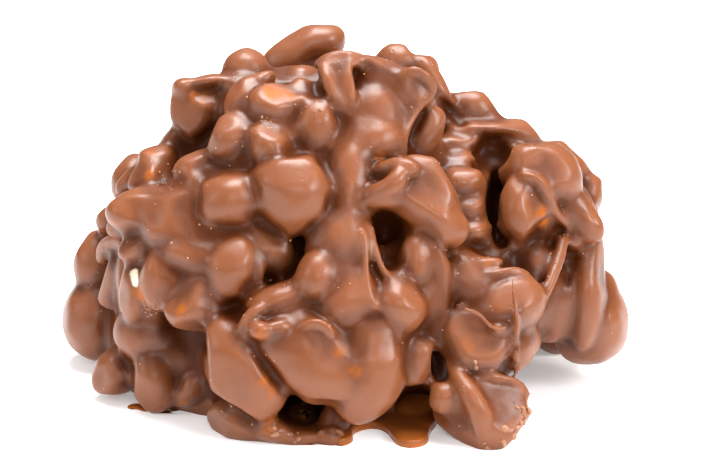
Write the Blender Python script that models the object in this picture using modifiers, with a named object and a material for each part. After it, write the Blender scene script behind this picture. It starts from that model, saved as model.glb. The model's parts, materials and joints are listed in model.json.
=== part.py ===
"""Chocolate pecan cluster: nut bits held together and coated by milk chocolate, as one solid.

Lengths in the tables are millimetres. X runs to the right, Y to the back and Z up. The base is flat, and
its middle is the origin.
"""

import math
import random

import bmesh
import bpy
from mathutils import Matrix, Vector

NAME = "pecan_cluster"
MM = 0.001

# The cluster as a whole: an uneven heap, half an ellipsoid that its outermost bits touch.
HALF_WIDTH, HALF_DEPTH, HEIGHT = 28.0, 24.5, 31.2
HEAP_MIDDLE = -1.0
SLUMP, SLUMP_REACH = 0.055, 12.0  # its right side is lower by this share, all of it past this distance

# The front view that places are read in: a window as wide as 70.1 mm at the heap's middle.
WINDOW_WIDTH, WINDOW_HEIGHT = 70.1, 47.2
WINDOW_MIDDLE = Vector((0.4, 0.0, 13.0))
SIGHT_DISTANCE = 230.0
SIGHT_TILT = math.radians(17)

# The coat
GRAIN = 0.32  # the voxel that the coat is worked in
FILLET = 0.22  # chocolate gathers in every crease that a ball of this radius can't enter
SMOOTHING = 3
DRAPE_GRAIN = 0.5
DRAPE_REACH = 1.3  # it bridges every gap that a ball of this radius can't enter
DRAPE_DEPTH = 1.0  # the bridges lie this far below the bits around them
LIP_FILLET = 0.15
LIP_SMOOTHING = 2
RELIEF = (("CLOUDS", 4.5, 0.7), ("CLOUDS", 1.8, 0.16), ("VORONOI", 3.4, 0.3))  # pattern, length, height
BIT_DETAIL, CORE_DETAIL = 3, 4
TRIANGLES = 11200
SEED = 11

# The rear, laid out by rule
REAR_STEPS = 560
REAR_START, REAR_LEAN = -1.0, 0.16  # they start behind this depth, and higher up farther back
REAR_SPACING = (3.5, 4.9)
REAR_DEPTH = (2.0, 4.2)
REAR_LOWEST = 1.8
REAR_SIZES = ((5.4, 9.5), (4.4, 6.6), (4.5, 6.2))
REAR_FLATS = (2, 6)
FEET = 11
FOOT_BEARINGS, FOOT_SWING = (105.0, 14.6), 4.0
FOOT_DEPTH = (3.2, 5.2)
FOOT_LIFT = (1.0, 2.2)
FOOT_SIZES = ((6.5, 9.5), (5.0, 7.5), (4.6, 6.4))
FLAT_KEEP = (0.66, 0.82)
DRIPS = 11
DRIP_BEARINGS, DRIP_SWING = (78.0, 20.5), 5.0
DRIP_TOP, DRIP_LOW = (0.55, 0.9), (0.12, 0.4)  # shares of the heap's height
DRIP_WANDER = 0.1
DRIP_RADII = (1.0, 1.9)
DRIP_DEPTH = 3.0
DRIP_POINTS = 5

WELD = 0.001
GROUND = 100.0  # the block under the base, which cuts it flat
CHOCOLATE, SATIN = (0.130, 0.052, 0.024, 1.0), 0.4

# The inside: (middle), (half sizes)
CORES = (
    ((-3.5, -0.8, 4.0), (20.4, 17.8, 25.4)),
    ((7.0, 2.6, 9.0), (15.5, 12.6, 13.5)),
    ((-1.6, 2.6, 6.0), (19.6, 15.8, 21.8)),
)

# Nut bits: name, (across, down, depth) of the middle in the window, (length, width, thickness), lean of
# the length in degrees, and the flats that the bit broke along. A flat is (clock, tilt, keep): the way it
# faces in the window in degrees from the right, how far it turns to the viewer, and how much of the bit's
# reach that way is kept. A number stands for that many flats at random.
NUT_BITS = (
    # the crown and the nuts under it
    ("crown_nut", (30.3, 5.45, 6.0), (9.5, 5.4, 5.6), 30, ((88, 0, 0.9), (300, 50, 0.8))),
    ("crown_knob", (24.5, 7.2, -2.6), (5.2, 4.9, 5.0), 60, ((138, 5, 0.86), (38, 10, 0.86))),
    ("knob_foot", (24.6, 9.0, -4.6), (6.0, 3.8, 5.0), 0, 0),
    ("crown_saddle", (29.2, 8.2, -2.5), (7.4, 3.4, 6.0), 5, ((90, 30, 0.6),)),
    ("crown_rear", (36.2, 9.2, -3.0), (9.6, 6.0, 7.0), 0, ((90, 20, 0.8),)),
    ("arch_wall", (35.6, 7.6, -7.4), (7.8, 4.4, 4.0), -12, 0),
    ("bowl", (37.2, 9.1, -8.4), (7.8, 6.8, 4.6), -10, 0),
    ("arch_side", (38.4, 9.6, -8.4), (5.4, 3.2, 2.8), 82, 0),
    ("curl_rear", (41.8, 11.0, -2.0), (5.6, 4.6, 4.0), 70, 0),
    ("saddle_lump", (30.0, 7.5, -3.0), (3.0, 2.2, 3.0), 0, 1),
    ("left_chunk", (19.7, 11.2, -5.0), (6.4, 5.6, 5.8), 82,
     ((180, 0, 0.86), (228, 10, 0.78), (300, 15, 0.8), (20, 10, 0.84), (200, 45, 0.76),
      (70, 45, 0.76))),
    ("left_shelf", (20.4, 8.2, -4.8), (5.2, 1.4, 4.0), 6, 0),
    ("chunk_lip", (18.2, 9.0, -5.0), (2.8, 2.6, 4.6), 0, 0),
    ("gold_nut", (27.8, 10.8, -11.4), (5.8, 5.0, 5.0), -15,
     ((78, 40, 0.64), (318, 8, 0.68), (335, 52, 0.76), (250, 45, 0.8))),
    ("gold_side", (24.7, 10.6, -9.4), (6.0, 4.6, 5.0), 75, ((150, 20, 0.8), (20, 45, 0.8))),
    ("gold_brow", (26.2, 7.9, -7.8), (3.4, 1.6, 2.8), 20, 0),
    ("gold_tip", (30.1, 10.1, -12.0), (1.4, 1.1, 1.4), 60, 0),
    ("web_knob", (31.6, 12.7, -12.4), (5.2, 4.6, 4.8), 75, ((150, 15, 0.86), (20, 20, 0.88))),
    ("web_fill", (32.6, 14.4, -12.2), (6.0, 4.6, 4.6), 80, 0),
    ("web_top", (31.3, 9.9, -9.4), (5.6, 3.0, 3.8), -42, ((45, 40, 0.7),)),
    ("pink_nut", (26.8, 14.3, -14.0), (5.2, 3.8, 4.6), -48, 0),
    ("web_facet", (28.6, 13.4, -13.0), (4.2, 2.4, 2.8), -62, ((60, 40, 0.6),)),
    ("brown_nut", (23.1, 13.7, -12.4), (4.8, 4.4, 4.8), 62, ((160, 10, 0.84), (110, 45, 0.84))),
    ("brown_bead", (22.9, 13.4, -13.8), (1.9, 1.6, 1.8), 0, 0),
    ("brown_foot", (22.3, 14.9, -12.8), (2.6, 1.6, 3.0), 30, 0),
    ("brown_fill", (24.9, 16.2, -12.6), (5.4, 3.6, 4.4), 0, 0),
    # the middle left
    ("big_nut", (29.2, 19.3, -16.0), (8.5, 7.9, 7.4), -20,
     ((95, 14, 0.86), (35, 12, 0.89), (345, 18, 0.88), (300, 15, 0.86), (232, 20, 0.84),
      (185, 25, 0.84), (75, 60, 0.9), (212, 50, 0.84))),
    ("near_nut", (23.0, 20.2, -15.2), (6.5, 5.6, 6.2), 15, ((270, 20, 0.88),)),
    ("near_back", (22.6, 17.3, -12.4), (6.6, 3.0, 4.4), -8, ((100, 30, 0.8),)),
    ("small_nut", (19.2, 18.6, -13.2), (3.6, 3.4, 4.0), 30, 2),
    ("finger_nut", (19.4, 16.4, -12.0), (4.6, 2.1, 3.4), 30, ((110, 30, 0.8),)),
    # the left shoulder and the coat that runs off it
    ("shoulder_top", (15.5, 15.9, -7.4), (3.8, 3.0, 3.6), 0, ((90, 25, 0.7), (180, 20, 0.85))),
    ("shoulder_nut", (15.1, 17.9, -9.0), (4.8, 3.8, 4.8), 20,
     ((150, 35, 0.68), (20, 40, 0.78), (270, 30, 0.7))),
    ("shoulder_back", (13.0, 17.7, -2.0), (5.0, 3.6, 5.4), 60, ((140, 0, 0.84),)),
    ("shoulder_edge", (12.9, 18.0, -6.2), (3.6, 1.5, 3.6), 52, 0),
    ("shoulder_web", (17.3, 14.5, -4.6), (7.0, 3.0, 3.8), 55, ((145, 20, 0.8),)),
    ("dark_web", (19.8, 15.0, -4.8), (5.0, 3.6, 4.0), 10, 0),
    ("left_sheet", (15.8, 21.2, -13.2), (10.4, 5.2, 6.6), 3,
     ((265, 30, 0.82), (98, 70, 0.68), (95, 20, 0.84))),
    ("left_brow", (12.3, 22.7, -10.8), (3.6, 2.2, 3.6), 5, 0),
    ("mid_sheet", (20.6, 23.0, -15.3), (10.6, 6.6, 5.6), -22, ((95, 72, 0.74),)),
    ("sheet_fill", (15.8, 24.0, -12.6), (6.0, 4.2, 5.0), 12, 0),
    ("sheet_join", (17.8, 22.2, -14.4), (8.0, 6.0, 5.6), -8, ((98, 70, 0.72),)),
    # the left side
    ("rear_speck", (10.4, 22.0, -1.0), (3.2, 2.4, 3.4), 70, ((120, 0, 0.75),)),
    ("rear_bulge_top", (10.2, 25.9, 0.5), (6.6, 5.4, 6.6), 78, ((150, 0, 0.82),)),
    ("rear_bulge", (9.9, 31.6, -0.5), (9.2, 7.4, 8.6), 80, ((200, 0, 0.94),)),
    ("side_lobe", (13.0, 27.8, -7.4), (8.4, 3.0, 6.4), 86, 0),
    ("side_foot", (13.4, 32.4, -8.0), (6.6, 3.4, 6.2), 85, 0),
    # the lower left
    ("fold_nut", (14.1, 24.4, -12.8), (4.6, 2.6, 3.8), 22, ((140, 40, 0.72), (320, 30, 0.7))),
    ("bright_nut", (13.7, 28.9, -13.9), (6.2, 3.6, 4.8), 86,
     ((80, 25, 0.74), (190, 30, 0.8), (10, 50, 0.88))),
    ("lobe_low", (15.7, 30.2, -13.6), (4.8, 4.4, 4.8), 0, ((60, 65, 0.8),)),
    ("lobe_nut", (17.2, 27.4, -15.8), (7.6, 5.8, 5.4), 60, ((100, 65, 0.82),)),
    ("lobe_big", (23.5, 26.8, -18.2), (6.4, 5.2, 5.6), 66, ((320, 20, 0.84), (110, 60, 0.84))),
    ("lobe_web", (20.6, 25.8, -16.8), (8.0, 4.6, 5.2), -12, 0),
    ("amber_nut", (19.6, 30.3, -18.4), (6.6, 5.2, 5.8), 38,
     ((5, 15, 0.84), (150, 45, 0.76), (275, 25, 0.8), (20, 60, 0.84))),
    ("amber_join", (21.4, 28.7, -17.4), (4.6, 3.4, 4.4), 0, 0),
    ("left_body", (16.6, 33.0, -12.6), (9.4, 6.6, 6.4), 0, 0),
    ("left_lower", (18.2, 35.4, -12.6), (7.2, 7.4, 6.2), 0, 0),
    # the left feet
    ("foot_one", (11.8, 37.0, -11.2), (6.0, 5.0, 5.4), 50,
     ((270, 0, 0.84), (128, 15, 0.76), (60, 50, 0.74), (185, 40, 0.74), (315, 35, 0.8), (10, 10, 0.8))),
    ("foot_two", (15.5, 37.9, -14.2), (6.8, 4.8, 5.8), 95,
     ((180, 10, 0.84), (95, 10, 0.84), (225, 45, 0.78))),
    ("foot_three", (19.2, 38.6, -15.0), (5.0, 2.4, 4.0), 62, 0),
    # the front
    ("slab", (23.9, 37.0, -22.0), (11.0, 7.2, 5.8), -54,
     ((183, 0, 0.78), (37, 12, 0.74), (236, 5, 0.84), (222, 68, 0.8))),
    ("slab_back", (24.2, 36.2, -16.6), (7.6, 6.6, 7.0), 0, 0),
    ("base_lobe", (24.8, 42.2, -19.2), (8.4, 4.6, 7.4), -12, ((200, 30, 0.84),)),
    ("base_nut", (27.2, 42.9, -22.6), (3.2, 2.2, 2.8), -8, ((90, 40, 0.7),)),
    ("base_bead", (30.0, 43.5, -18.8), (9.0, 2.6, 10.0), -1, 0),
    ("front_half", (31.6, 35.8, -21.8), (14.4, 8.4, 7.0), -30,
     ((232, 8, 0.86), (268, 12, 0.8), (60, 42, 0.84))),
    ("half_ridge", (32.7, 34.6, -22.5), (10.0, 4.4, 4.8), -42, 0),
    ("front_round", (36.8, 36.4, -21.8), (11.4, 7.2, 6.6), 78, ((0, 20, 0.9),)),
    ("front_neck", (34.4, 30.0, -20.0), (8.4, 7.2, 6.0), 90, 0),
    ("front_leg", (33.5, 41.8, -20.6), (4.2, 3.0, 3.4), 70, 1),
    ("front_wedge", (33.1, 43.9, -22.4), (2.8, 1.7, 2.2), -15, 3),
    ("amber_bump", (25.9, 33.0, -23.8), (2.1, 1.6, 2.2), 0, 0),
    ("inner_bump", (27.9, 32.7, -23.2), (2.0, 1.7, 2.0), 20, 0),
    # the smooth run of chocolate down the middle
    ("curtain_top", (36.6, 13.4, -10.3), (10.4, 8.6, 7.0), 88, 0),
    ("curtain_mid", (34.9, 19.5, -15.2), (10.0, 5.0, 5.2), 86, 0),
    ("curtain_low", (34.3, 25.5, -18.0), (9.6, 7.0, 5.2), 90, 0),
    ("curtain_side", (38.4, 14.4, -12.0), (6.6, 5.6, 5.4), 0, 0),
    ("curtain_shoulder", (35.3, 17.0, -13.0), (12.0, 5.4, 5.8), 74, 0),
    ("curtain_knob", (31.6, 27.8, -20.4), (4.8, 4.2, 4.6), 75, ((150, 20, 0.86), (300, 20, 0.86))),
    ("curtain_web", (28.2, 29.9, -20.4), (7.4, 3.2, 4.4), 15, 0),
    ("pit_nut", (26.9, 24.6, -16.6), (6.8, 4.2, 4.6), -62, ((60, 50, 0.76),)),
    ("pit_bead", (22.9, 30.8, -17.6), (3.4, 3.2, 3.4), 0, 0),
    ("pit_bit", (38.9, 25.6, -15.2), (2.6, 3.6, 3.0), 0, 0),
    # the curled lip at the top
    ("tongue", (33.1, 7.8, -9.4), (4.4, 2.2, 2.8), -74, 0),
    ("curl_wall", (39.6, 10.8, -9.2), (6.6, 3.2, 3.6), 80, 0),
    ("ear", (40.9, 9.5, -9.3), (5.6, 4.2, 3.0), -66, 0),
    ("ear_low", (39.6, 12.8, -10.6), (5.6, 2.6, 3.4), 82, 0),
    # the right skyline
    ("rear_peak", (39.9, 6.3, 0.5), (4.8, 4.6, 4.6), 20, ((130, 0, 0.8), (80, 0, 0.86), (20, 0, 0.62))),
    ("rear_peak_b", (42.0, 6.9, 0.5), (4.0, 3.4, 4.4), -10, ((90, 0, 0.8),)),
    ("rear_ridge", (43.8, 9.0, -1.4), (8.0, 2.0, 3.4), -64, 0),
    ("rear_plate", (47.0, 11.0, 0.2), (5.8, 4.4, 4.8), -14,
     ((92, 0, 0.76), (40, 0, 0.84), (270, 40, 0.8))),
    ("rear_plate_b", (49.2, 12.2, -1.0), (3.2, 2.4, 3.4), -35, 1),
    ("rear_slope", (45.6, 12.6, -1.6), (4.6, 2.6, 3.6), -45, 1),
    ("rear_chunk", (51.4, 13.4, -2.2), (5.6, 3.4, 4.8), -14, ((98, 0, 0.84), (35, 0, 0.8))),
    ("right_brow", (56.0, 16.2, -1.0), (7.0, 4.1, 5.4), -38, ((92, 0, 0.72), (50, 0, 0.84))),
    ("right_knob", (58.6, 19.6, -1.4), (5.6, 3.2, 5.0), 80, ((50, 0, 0.82), (0, 0, 0.88))),
    ("right_tail", (58.0, 22.4, -2.6), (4.4, 2.8, 4.6), 95, 1),
    # the hooded nut on the right
    ("hood", (54.0, 17.4, -8.8), (8.8, 6.6, 7.6), -22, ((95, 8, 0.84), (150, 10, 0.86), (80, 58, 0.82))),
    ("hood_face", (52.4, 21.3, -12.0), (7.8, 5.2, 5.6), 88,
     ((185, 10, 0.8), (100, 30, 0.8), (238, 35, 0.68), (18, 50, 0.72), (305, 25, 0.76))),
    ("hood_under", (51.4, 24.1, -8.6), (3.4, 2.2, 3.4), 60, 1),
    ("hood_nut", (54.4, 22.2, -10.2), (5.0, 2.8, 4.0), 68, 0),
    ("hood_fill", (56.0, 21.8, -8.4), (4.6, 3.6, 4.0), 60, 0),
    ("hood_slope", (57.0, 20.2, -6.8), (10.2, 4.4, 5.0), -60, ((30, 20, 0.74), (215, 30, 0.74))),
    ("hood_rear", (56.2, 21.8, -4.4), (7.0, 6.4, 6.0), 0, 0),
    ("hood_ledge", (56.3, 23.9, -10.0), (3.8, 1.6, 3.4), -25, ((80, 20, 0.6),)),
    # the hollow beside it
    ("recess_a", (45.9, 14.3, -4.8), (4.8, 2.3, 4.0), 0, ((90, 20, 0.8),)),
    ("recess_b", (45.4, 15.8, -7.0), (4.6, 1.7, 3.6), -4, ((90, 30, 0.6),)),
    ("recess_c", (42.0, 14.7, -6.4), (3.2, 2.6, 3.8), 30, 1),
    ("recess_d", (49.6, 14.4, -1.6), (4.4, 3.8, 4.4), 0, 0),
    ("ledge", (48.4, 12.9, -3.4), (8.4, 1.5, 4.6), -3, 0),
    ("stack_one", (46.3, 18.1, -9.8), (4.6, 3.2, 4.6), 8, ((90, 20, 0.8), (0, 15, 0.84), (80, 60, 0.8))),
    ("stack_two", (46.6, 20.6, -10.8), (4.4, 3.4, 4.4), -10,
     ((90, 45, 0.72), (0, 15, 0.84), (270, 10, 0.8))),
    ("stack_three", (47.0, 23.1, -11.8), (3.9, 3.2, 4.4), 0, ((90, 30, 0.7), (270, 20, 0.8))),
    # the middle right
    ("plate", (42.6, 20.2, -16.0), (10.0, 7.8, 5.8), -50,
     ((28, 6, 0.68), (150, 15, 0.8), (238, 6, 0.64), (262, 10, 0.84), (62, 66, 0.7), (235, 50, 0.74),
      (10, 42, 0.78))),
    ("plate_tip", (45.0, 23.1, -16.6), (3.0, 2.2, 3.2), -20, ((270, 10, 0.8),)),
    ("plate_root", (38.4, 20.0, -16.6), (5.0, 2.4, 3.8), 0, ((270, 10, 0.7),)),
    ("bean_one", (41.6, 26.1, -18.0), (5.2, 3.2, 4.0), 96, 0),
    ("bean_fill", (42.4, 29.4, -17.8), (7.0, 3.6, 4.4), 86, 0),
    ("bean_two", (39.9, 28.0, -18.8), (3.6, 2.2, 3.4), -35, ((90, 20, 0.84),)),
    ("bean_three", (40.0, 30.6, -20.6), (5.2, 4.2, 4.8), -50, ((40, 40, 0.84),)),
    ("bean_four", (41.6, 35.6, -19.6), (6.4, 3.4, 4.4), 76, ((60, 40, 0.76),)),
    ("bean_back", (42.4, 29.2, -16.0), (9.0, 5.0, 4.6), 90, 0),
    ("bean_knob", (40.8, 33.6, -18.4), (1.8, 2.2, 2.6), 0, 0),
    # the lower right
    ("right_web", (46.4, 28.4, -15.6), (8.8, 6.0, 6.0), -30, 0),
    ("lens", (48.6, 26.3, -15.8), (3.6, 1.5, 1.8), 5, ((90, 0, 0.7),)),
    ("round_nut", (50.6, 30.4, -16.8), (7.8, 5.8, 6.8), 20, ((100, 10, 0.92), (82, 68, 0.86))),
    ("right_core", (50.5, 30.0, -11.0), (10.0, 9.0, 8.0), 0, 0),
    ("low_nut", (47.3, 34.3, -18.6), (8.4, 7.6, 6.4), -50,
     ((150, 10, 0.84), (90, 15, 0.86), (330, 20, 0.84), (70, 72, 0.76), (200, 45, 0.82))),
    ("low_body", (50.4, 33.9, -15.4), (7.0, 5.6, 7.6), 0, ((290, 0, 0.84),)),
    ("low_join", (50.2, 34.7, -17.0), (6.2, 5.4, 5.8), 0, ((80, 70, 0.8),)),
    ("right_fill", (53.4, 27.0, -12.0), (5.0, 6.0, 5.0), 0, 0),
    ("right_body", (55.4, 29.0, -7.6), (10.4, 6.2, 7.0), 90, 0),
    ("drip_body", (59.0, 27.6, -8.6), (9.0, 4.2, 5.6), 86, ((90, 0, 0.8), (180, 22, 0.62))),
    ("right_bulge", (59.2, 31.9, -6.0), (8.8, 7.3, 9.0), 104, 0),
    ("bulge_join", (60.4, 29.8, -6.8), (6.4, 3.6, 5.0), 100, 0),
    ("front_nut", (48.5, 41.2, -21.0), (10.1, 7.8, 6.6), -8,
     ((92, 0, 0.84), (15, 0, 0.86), (318, 5, 0.78), (232, 5, 0.78), (48, 58, 0.68), (205, 42, 0.62))),
    ("front_knob", (44.3, 39.6, -21.4), (2.6, 3.0, 3.4), 0, ((90, 0, 0.8),)),
    ("mid_body", (44.5, 36.0, -11.6), (6.0, 8.0, 6.0), 0, 0),
)

# Lips, curls and thick runs of chocolate: name, points in the window with their depths, radii
RUNS = (
    ("arch",
     ((31.6, 6.7, -8.6), (32.3, 6.0, -9.4), (33.3, 5.5, -9.6), (34.6, 5.35, -9.4), (36.2, 5.7, -9.2),
      (37.6, 6.3, -9.2), (38.8, 7.2, -9.4), (39.8, 7.7, -9.6), (40.5, 7.5, -9.6)),
     (0.45, 0.5, 0.45, 0.42, 0.4, 0.4, 0.4, 0.42, 0.45)),
    ("tongue_left",
     ((32.2, 6.4, -9.6), (32.6, 7.6, -11.2), (33.2, 9.0, -12.4), (33.9, 10.3, -12.9),
      (34.3, 11.0, -12.9)),
     (0.55, 0.6, 0.6, 0.55, 0.45)),
    ("tongue_right",
     ((34.9, 6.2, -9.8), (35.0, 7.7, -11.2), (35.0, 9.2, -12.2), (34.8, 10.5, -12.7)),
     (0.3, 0.4, 0.42, 0.4)),
    ("tongue_mid",
     ((33.6, 6.2, -9.6), (33.9, 7.8, -10.9), (34.1, 9.2, -11.9), (34.3, 10.4, -12.5)),
     (0.65, 0.7, 0.65, 0.5)),
    ("curl",
     ((40.6, 7.7, -9.8), (41.0, 7.05, -9.8), (42.2, 7.3, -9.8), (43.2, 8.4, -9.6), (43.2, 9.4, -9.6),
      (42.1, 10.6, -10.4), (41.1, 12.2, -11.4), (40.5, 14.0, -12.4), (40.5, 15.4, -13.0)),
     (0.45, 0.45, 0.48, 0.48, 0.45, 0.4, 0.38, 0.38, 0.38)),
    ("loop_left",
     ((10.3, 26.0, -4.0), (10.5, 24.9, -5.2), (11.4, 24.2, -6.8), (12.6, 24.0, -8.8)),
     (0.8, 0.9, 0.9, 0.8)),
    ("sheet_edge",
     ((11.5, 22.2, -10.6), (11.5, 20.6, -11.0), (12.6, 19.5, -11.6), (14.8, 19.05, -12.4),
      (17.2, 19.1, -13.4)),
     (0.5, 0.5, 0.45, 0.4, 0.3)),
    ("lobe_rim",
     ((24.5, 24.0, -17.4), (25.5, 25.2, -18.6), (26.0, 26.8, -19.2), (25.7, 28.4, -19.6),
      (25.2, 29.6, -20.0)),
     (0.35, 0.5, 0.55, 0.55, 0.5)),
    ("rim_front",
     ((27.8, 30.8, -21.6), (26.3, 30.9, -22.3), (25.0, 31.7, -22.7), (24.4, 32.9, -22.8),
      (24.8, 34.7, -23.0), (26.0, 36.7, -23.0)),
     (0.6, 0.7, 0.7, 0.65, 0.55, 0.4)),
    ("rim_half",
     ((29.4, 33.3, -23.4), (30.4, 32.6, -23.8), (31.4, 32.2, -23.9), (32.5, 32.5, -24.1),
      (33.4, 33.5, -24.4)),
     (0.35, 0.42, 0.42, 0.4, 0.3)),
    ("crease_a",
     ((36.4, 22.8, -19.0), (36.6, 26.0, -20.4), (36.9, 29.0, -22.0), (37.6, 31.0, -22.8)),
     (0.25, 0.35, 0.35, 0.25)),
    ("crease_b",
     ((37.2, 22.4, -18.0), (37.6, 25.0, -19.4), (38.7, 27.6, -20.4), (40.3, 28.9, -21.0),
      (41.4, 30.4, -21.0)),
     (0.25, 0.4, 0.4, 0.4, 0.25)),
    ("hook",
     ((36.6, 19.3, -16.4), (38.0, 19.2, -17.4), (39.4, 18.4, -17.8), (40.2, 17.1, -17.2)),
     (0.8, 1.05, 1.05, 0.8)),
    ("hook_top",
     ((37.4, 17.7, -15.2), (38.6, 16.9, -15.8), (40.0, 16.5, -16.4), (41.2, 16.8, -17.0),
      (41.6, 17.3, -17.2)),
     (0.7, 0.85, 0.85, 0.7, 0.5)),
    ("sausage",
     ((41.0, 24.6, -17.2), (42.6, 24.5, -17.8), (43.9, 26.2, -18.0), (44.1, 28.8, -18.2),
      (43.8, 31.4, -18.8), (43.0, 33.4, -19.4)),
     (0.6, 0.9, 1.0, 1.0, 0.9, 0.8)),
    ("web_ridge",
     ((45.8, 26.0, -16.2), (47.0, 27.1, -16.8), (49.2, 27.4, -17.2), (51.4, 26.9, -16.8),
      (53.0, 27.4, -16.2)),
     (0.3, 0.4, 0.4, 0.35, 0.3)),
    ("drizzle_loop",
     ((56.3, 23.8, -11.4), (55.9, 25.8, -13.2), (55.1, 28.0, -15.2), (54.2, 30.0, -16.8),
      (53.0, 31.8, -18.4), (51.2, 32.8, -19.8), (49.4, 32.8, -20.8), (47.8, 31.4, -21.2),
      (46.2, 30.8, -21.0)),
     (0.65, 0.65, 0.6, 0.55, 0.45, 0.35, 0.3, 0.3, 0.3)),
    ("hood_ridge",
     ((51.4, 15.0, -9.8), (53.4, 14.8, -10.6), (55.4, 16.0, -11.0), (56.8, 18.4, -10.4),
      (58.0, 21.0, -9.0), (59.2, 23.2, -7.6)),
     (0.4, 0.45, 0.45, 0.45, 0.42, 0.4)),
    ("hood_lip",
     ((52.0, 17.3, -12.5), (53.8, 17.9, -12.8), (54.8, 19.5, -12.6), (55.7, 21.3, -12.0),
      (57.0, 23.0, -11.0)),
     (0.3, 0.4, 0.42, 0.4, 0.3)),
    ("drizzle_line",
     ((51.3, 27.5, -20.0), (51.4, 29.5, -21.0), (51.7, 31.8, -20.8), (51.7, 34.0, -19.6),
      (51.6, 36.6, -18.4)),
     (0.25, 0.3, 0.35, 0.3, 0.25)),
    ("front_strap",
     ((45.0, 36.4, -19.8), (46.2, 38.2, -21.8), (47.1, 39.6, -22.8), (48.0, 41.4, -23.2),
      (48.6, 43.4, -23.0)),
     (0.6, 0.85, 1.0, 1.1, 1.1)),
    ("front_edge",
     ((46.8, 38.1, -20.9), (48.6, 37.7, -21.0), (50.4, 37.8, -20.6), (52.0, 38.4, -20.2),
      (53.0, 39.6, -20.2)),
     (0.35, 0.38, 0.38, 0.38, 0.3)),
)

# Hollows between the bits, cut from the inside: name, place, size and lean as for a bit
HOLLOWS = (
    ("front_pit", (28.4, 25.2, -19.0), (8.0, 4.8, 9.0), 70),
    ("low_pit", (30.2, 41.0, -22.0), (5.2, 3.4, 17.0), -10),
    ("mid_pit", (38.6, 23.6, -19.0), (5.6, 3.6, 10.0), 90),
    ("arch_pit", (49.4, 15.0, -8.6), (4.8, 3.4, 8.0), 0),
    ("stack_pit", (50.0, 20.6, -10.0), (9.6, 2.7, 11.0), 90),
    ("small_pit", (23.2, 30.4, -20.0), (2.6, 1.4, 6.0), 20),
    ("left_pit", (19.8, 14.4, -10.5), (5.0, 3.0, 7.0), 60),
    ("foot_pit", (42.2, 40.8, -19.0), (4.6, 5.6, 13.0), 80),
    ("gap_pit", (43.8, 36.4, -17.0), (6.0, 2.8, 8.0), -62),
    ("fin_pit", (43.9, 10.9, -6.0), (6.4, 4.2, 12.0), -58),
)

RIGHT = Vector((1, 0, 0))
SIGHT = Vector((0, math.cos(SIGHT_TILT), -math.sin(SIGHT_TILT)))
UP = Vector((0, math.sin(SIGHT_TILT), math.cos(SIGHT_TILT)))
EYE = WINDOW_MIDDLE - SIGHT * SIGHT_DISTANCE
WINDOW_TURN = Matrix((RIGHT, UP, -SIGHT)).transposed()


def across_window(clock, tilt):
    """The unit vector that faces this way in the window, turned by tilt to the viewer."""
    clock, tilt = math.radians(clock), math.radians(tilt)
    flat = RIGHT * math.cos(clock) + UP * math.sin(clock)
    return flat * math.cos(tilt) - SIGHT * math.sin(tilt)


def in_window(across, down, depth):
    """The point that shows at this place of the window and lies at y = depth, in metres."""
    offset = RIGHT * (across - WINDOW_WIDTH / 2) + UP * (WINDOW_HEIGHT / 2 - down)
    ray = WINDOW_MIDDLE + offset - EYE
    return (EYE + ray * ((depth - EYE.y) / ray.y)) * MM


def on_heap(bearing, height, inset=0.0):
    """The heap's point at this bearing, in radians from the front, and share of its height."""
    round_share = math.sqrt(max(0.0, 1 - height * height))
    x = (HALF_WIDTH - inset) * round_share * math.sin(bearing)
    y = HEAP_MIDDLE - (HALF_DEPTH - inset) * round_share * math.cos(bearing)
    slump = SLUMP * min(1, max(0, x / SLUMP_REACH))
    return Vector((x, y, (HEIGHT - inset) * height * (1 - slump)))


def heap_normal(point):
    """The way that the heap's ellipsoid faces at this point of it."""
    y = point.y - HEAP_MIDDLE
    return Vector((point.x / HALF_WIDTH**2, y / HALF_DEPTH**2, point.z / HEIGHT**2)).normalized()


def add_object(name, mesh, collection):
    obj = bpy.data.objects.new(name, mesh)
    collection.objects.link(obj)
    return obj


def remove_all(objects):
    for obj in list(objects):
        bpy.data.objects.remove(obj)


def ellipsoid(name, collection, middle, sizes, turn=None, flats=(), detail=BIT_DETAIL):
    """An ellipsoid with the given full sizes in millimetres, shaved by planes (normal, keep)."""
    turn = turn or Matrix.Identity(3)
    bm = bmesh.new()
    bmesh.ops.create_icosphere(bm, subdivisions=detail, radius=0.5)
    place = Matrix.Translation(middle) @ turn.to_4x4() @ Matrix.Diagonal((*(s * MM for s in sizes), 1))
    bmesh.ops.transform(bm, matrix=place, verts=bm.verts)
    half_axes = [turn.col[i] * sizes[i] * MM / 2 for i in range(3)]
    for normal, keep in flats:
        reach = math.sqrt(sum(axis.dot(normal) ** 2 for axis in half_axes))
        everything = bm.verts[:] + bm.edges[:] + bm.faces[:]
        cut_at = middle + normal * reach * keep
        bmesh.ops.bisect_plane(bm, geom=everything, plane_co=cut_at, plane_no=normal, clear_outer=True)
        bmesh.ops.holes_fill(bm, edges=[edge for edge in bm.edges if edge.is_boundary])
    mesh = bpy.data.meshes.new(name)
    bm.to_mesh(mesh)
    bm.free()
    return add_object(name, mesh, collection)


def random_flats(draws, count):
    """As many planes as count, each facing any way."""
    flats = []
    for _ in range(count):
        normal = Vector([draws.gauss(0, 1) for _ in range(3)]).normalized()
        flats.append((normal, draws.uniform(*FLAT_KEEP)))
    return flats


def nut_bit(collection, name, place, sizes, lean, flats, draws):
    turn = WINDOW_TURN @ Matrix.Rotation(math.radians(lean), 3, "Z")
    if isinstance(flats, int):
        planes = random_flats(draws, flats)
    else:
        planes = [(across_window(clock, tilt), keep) for clock, tilt, keep in flats]
    return ellipsoid(name, collection, in_window(*place), sizes, turn, planes)


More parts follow.
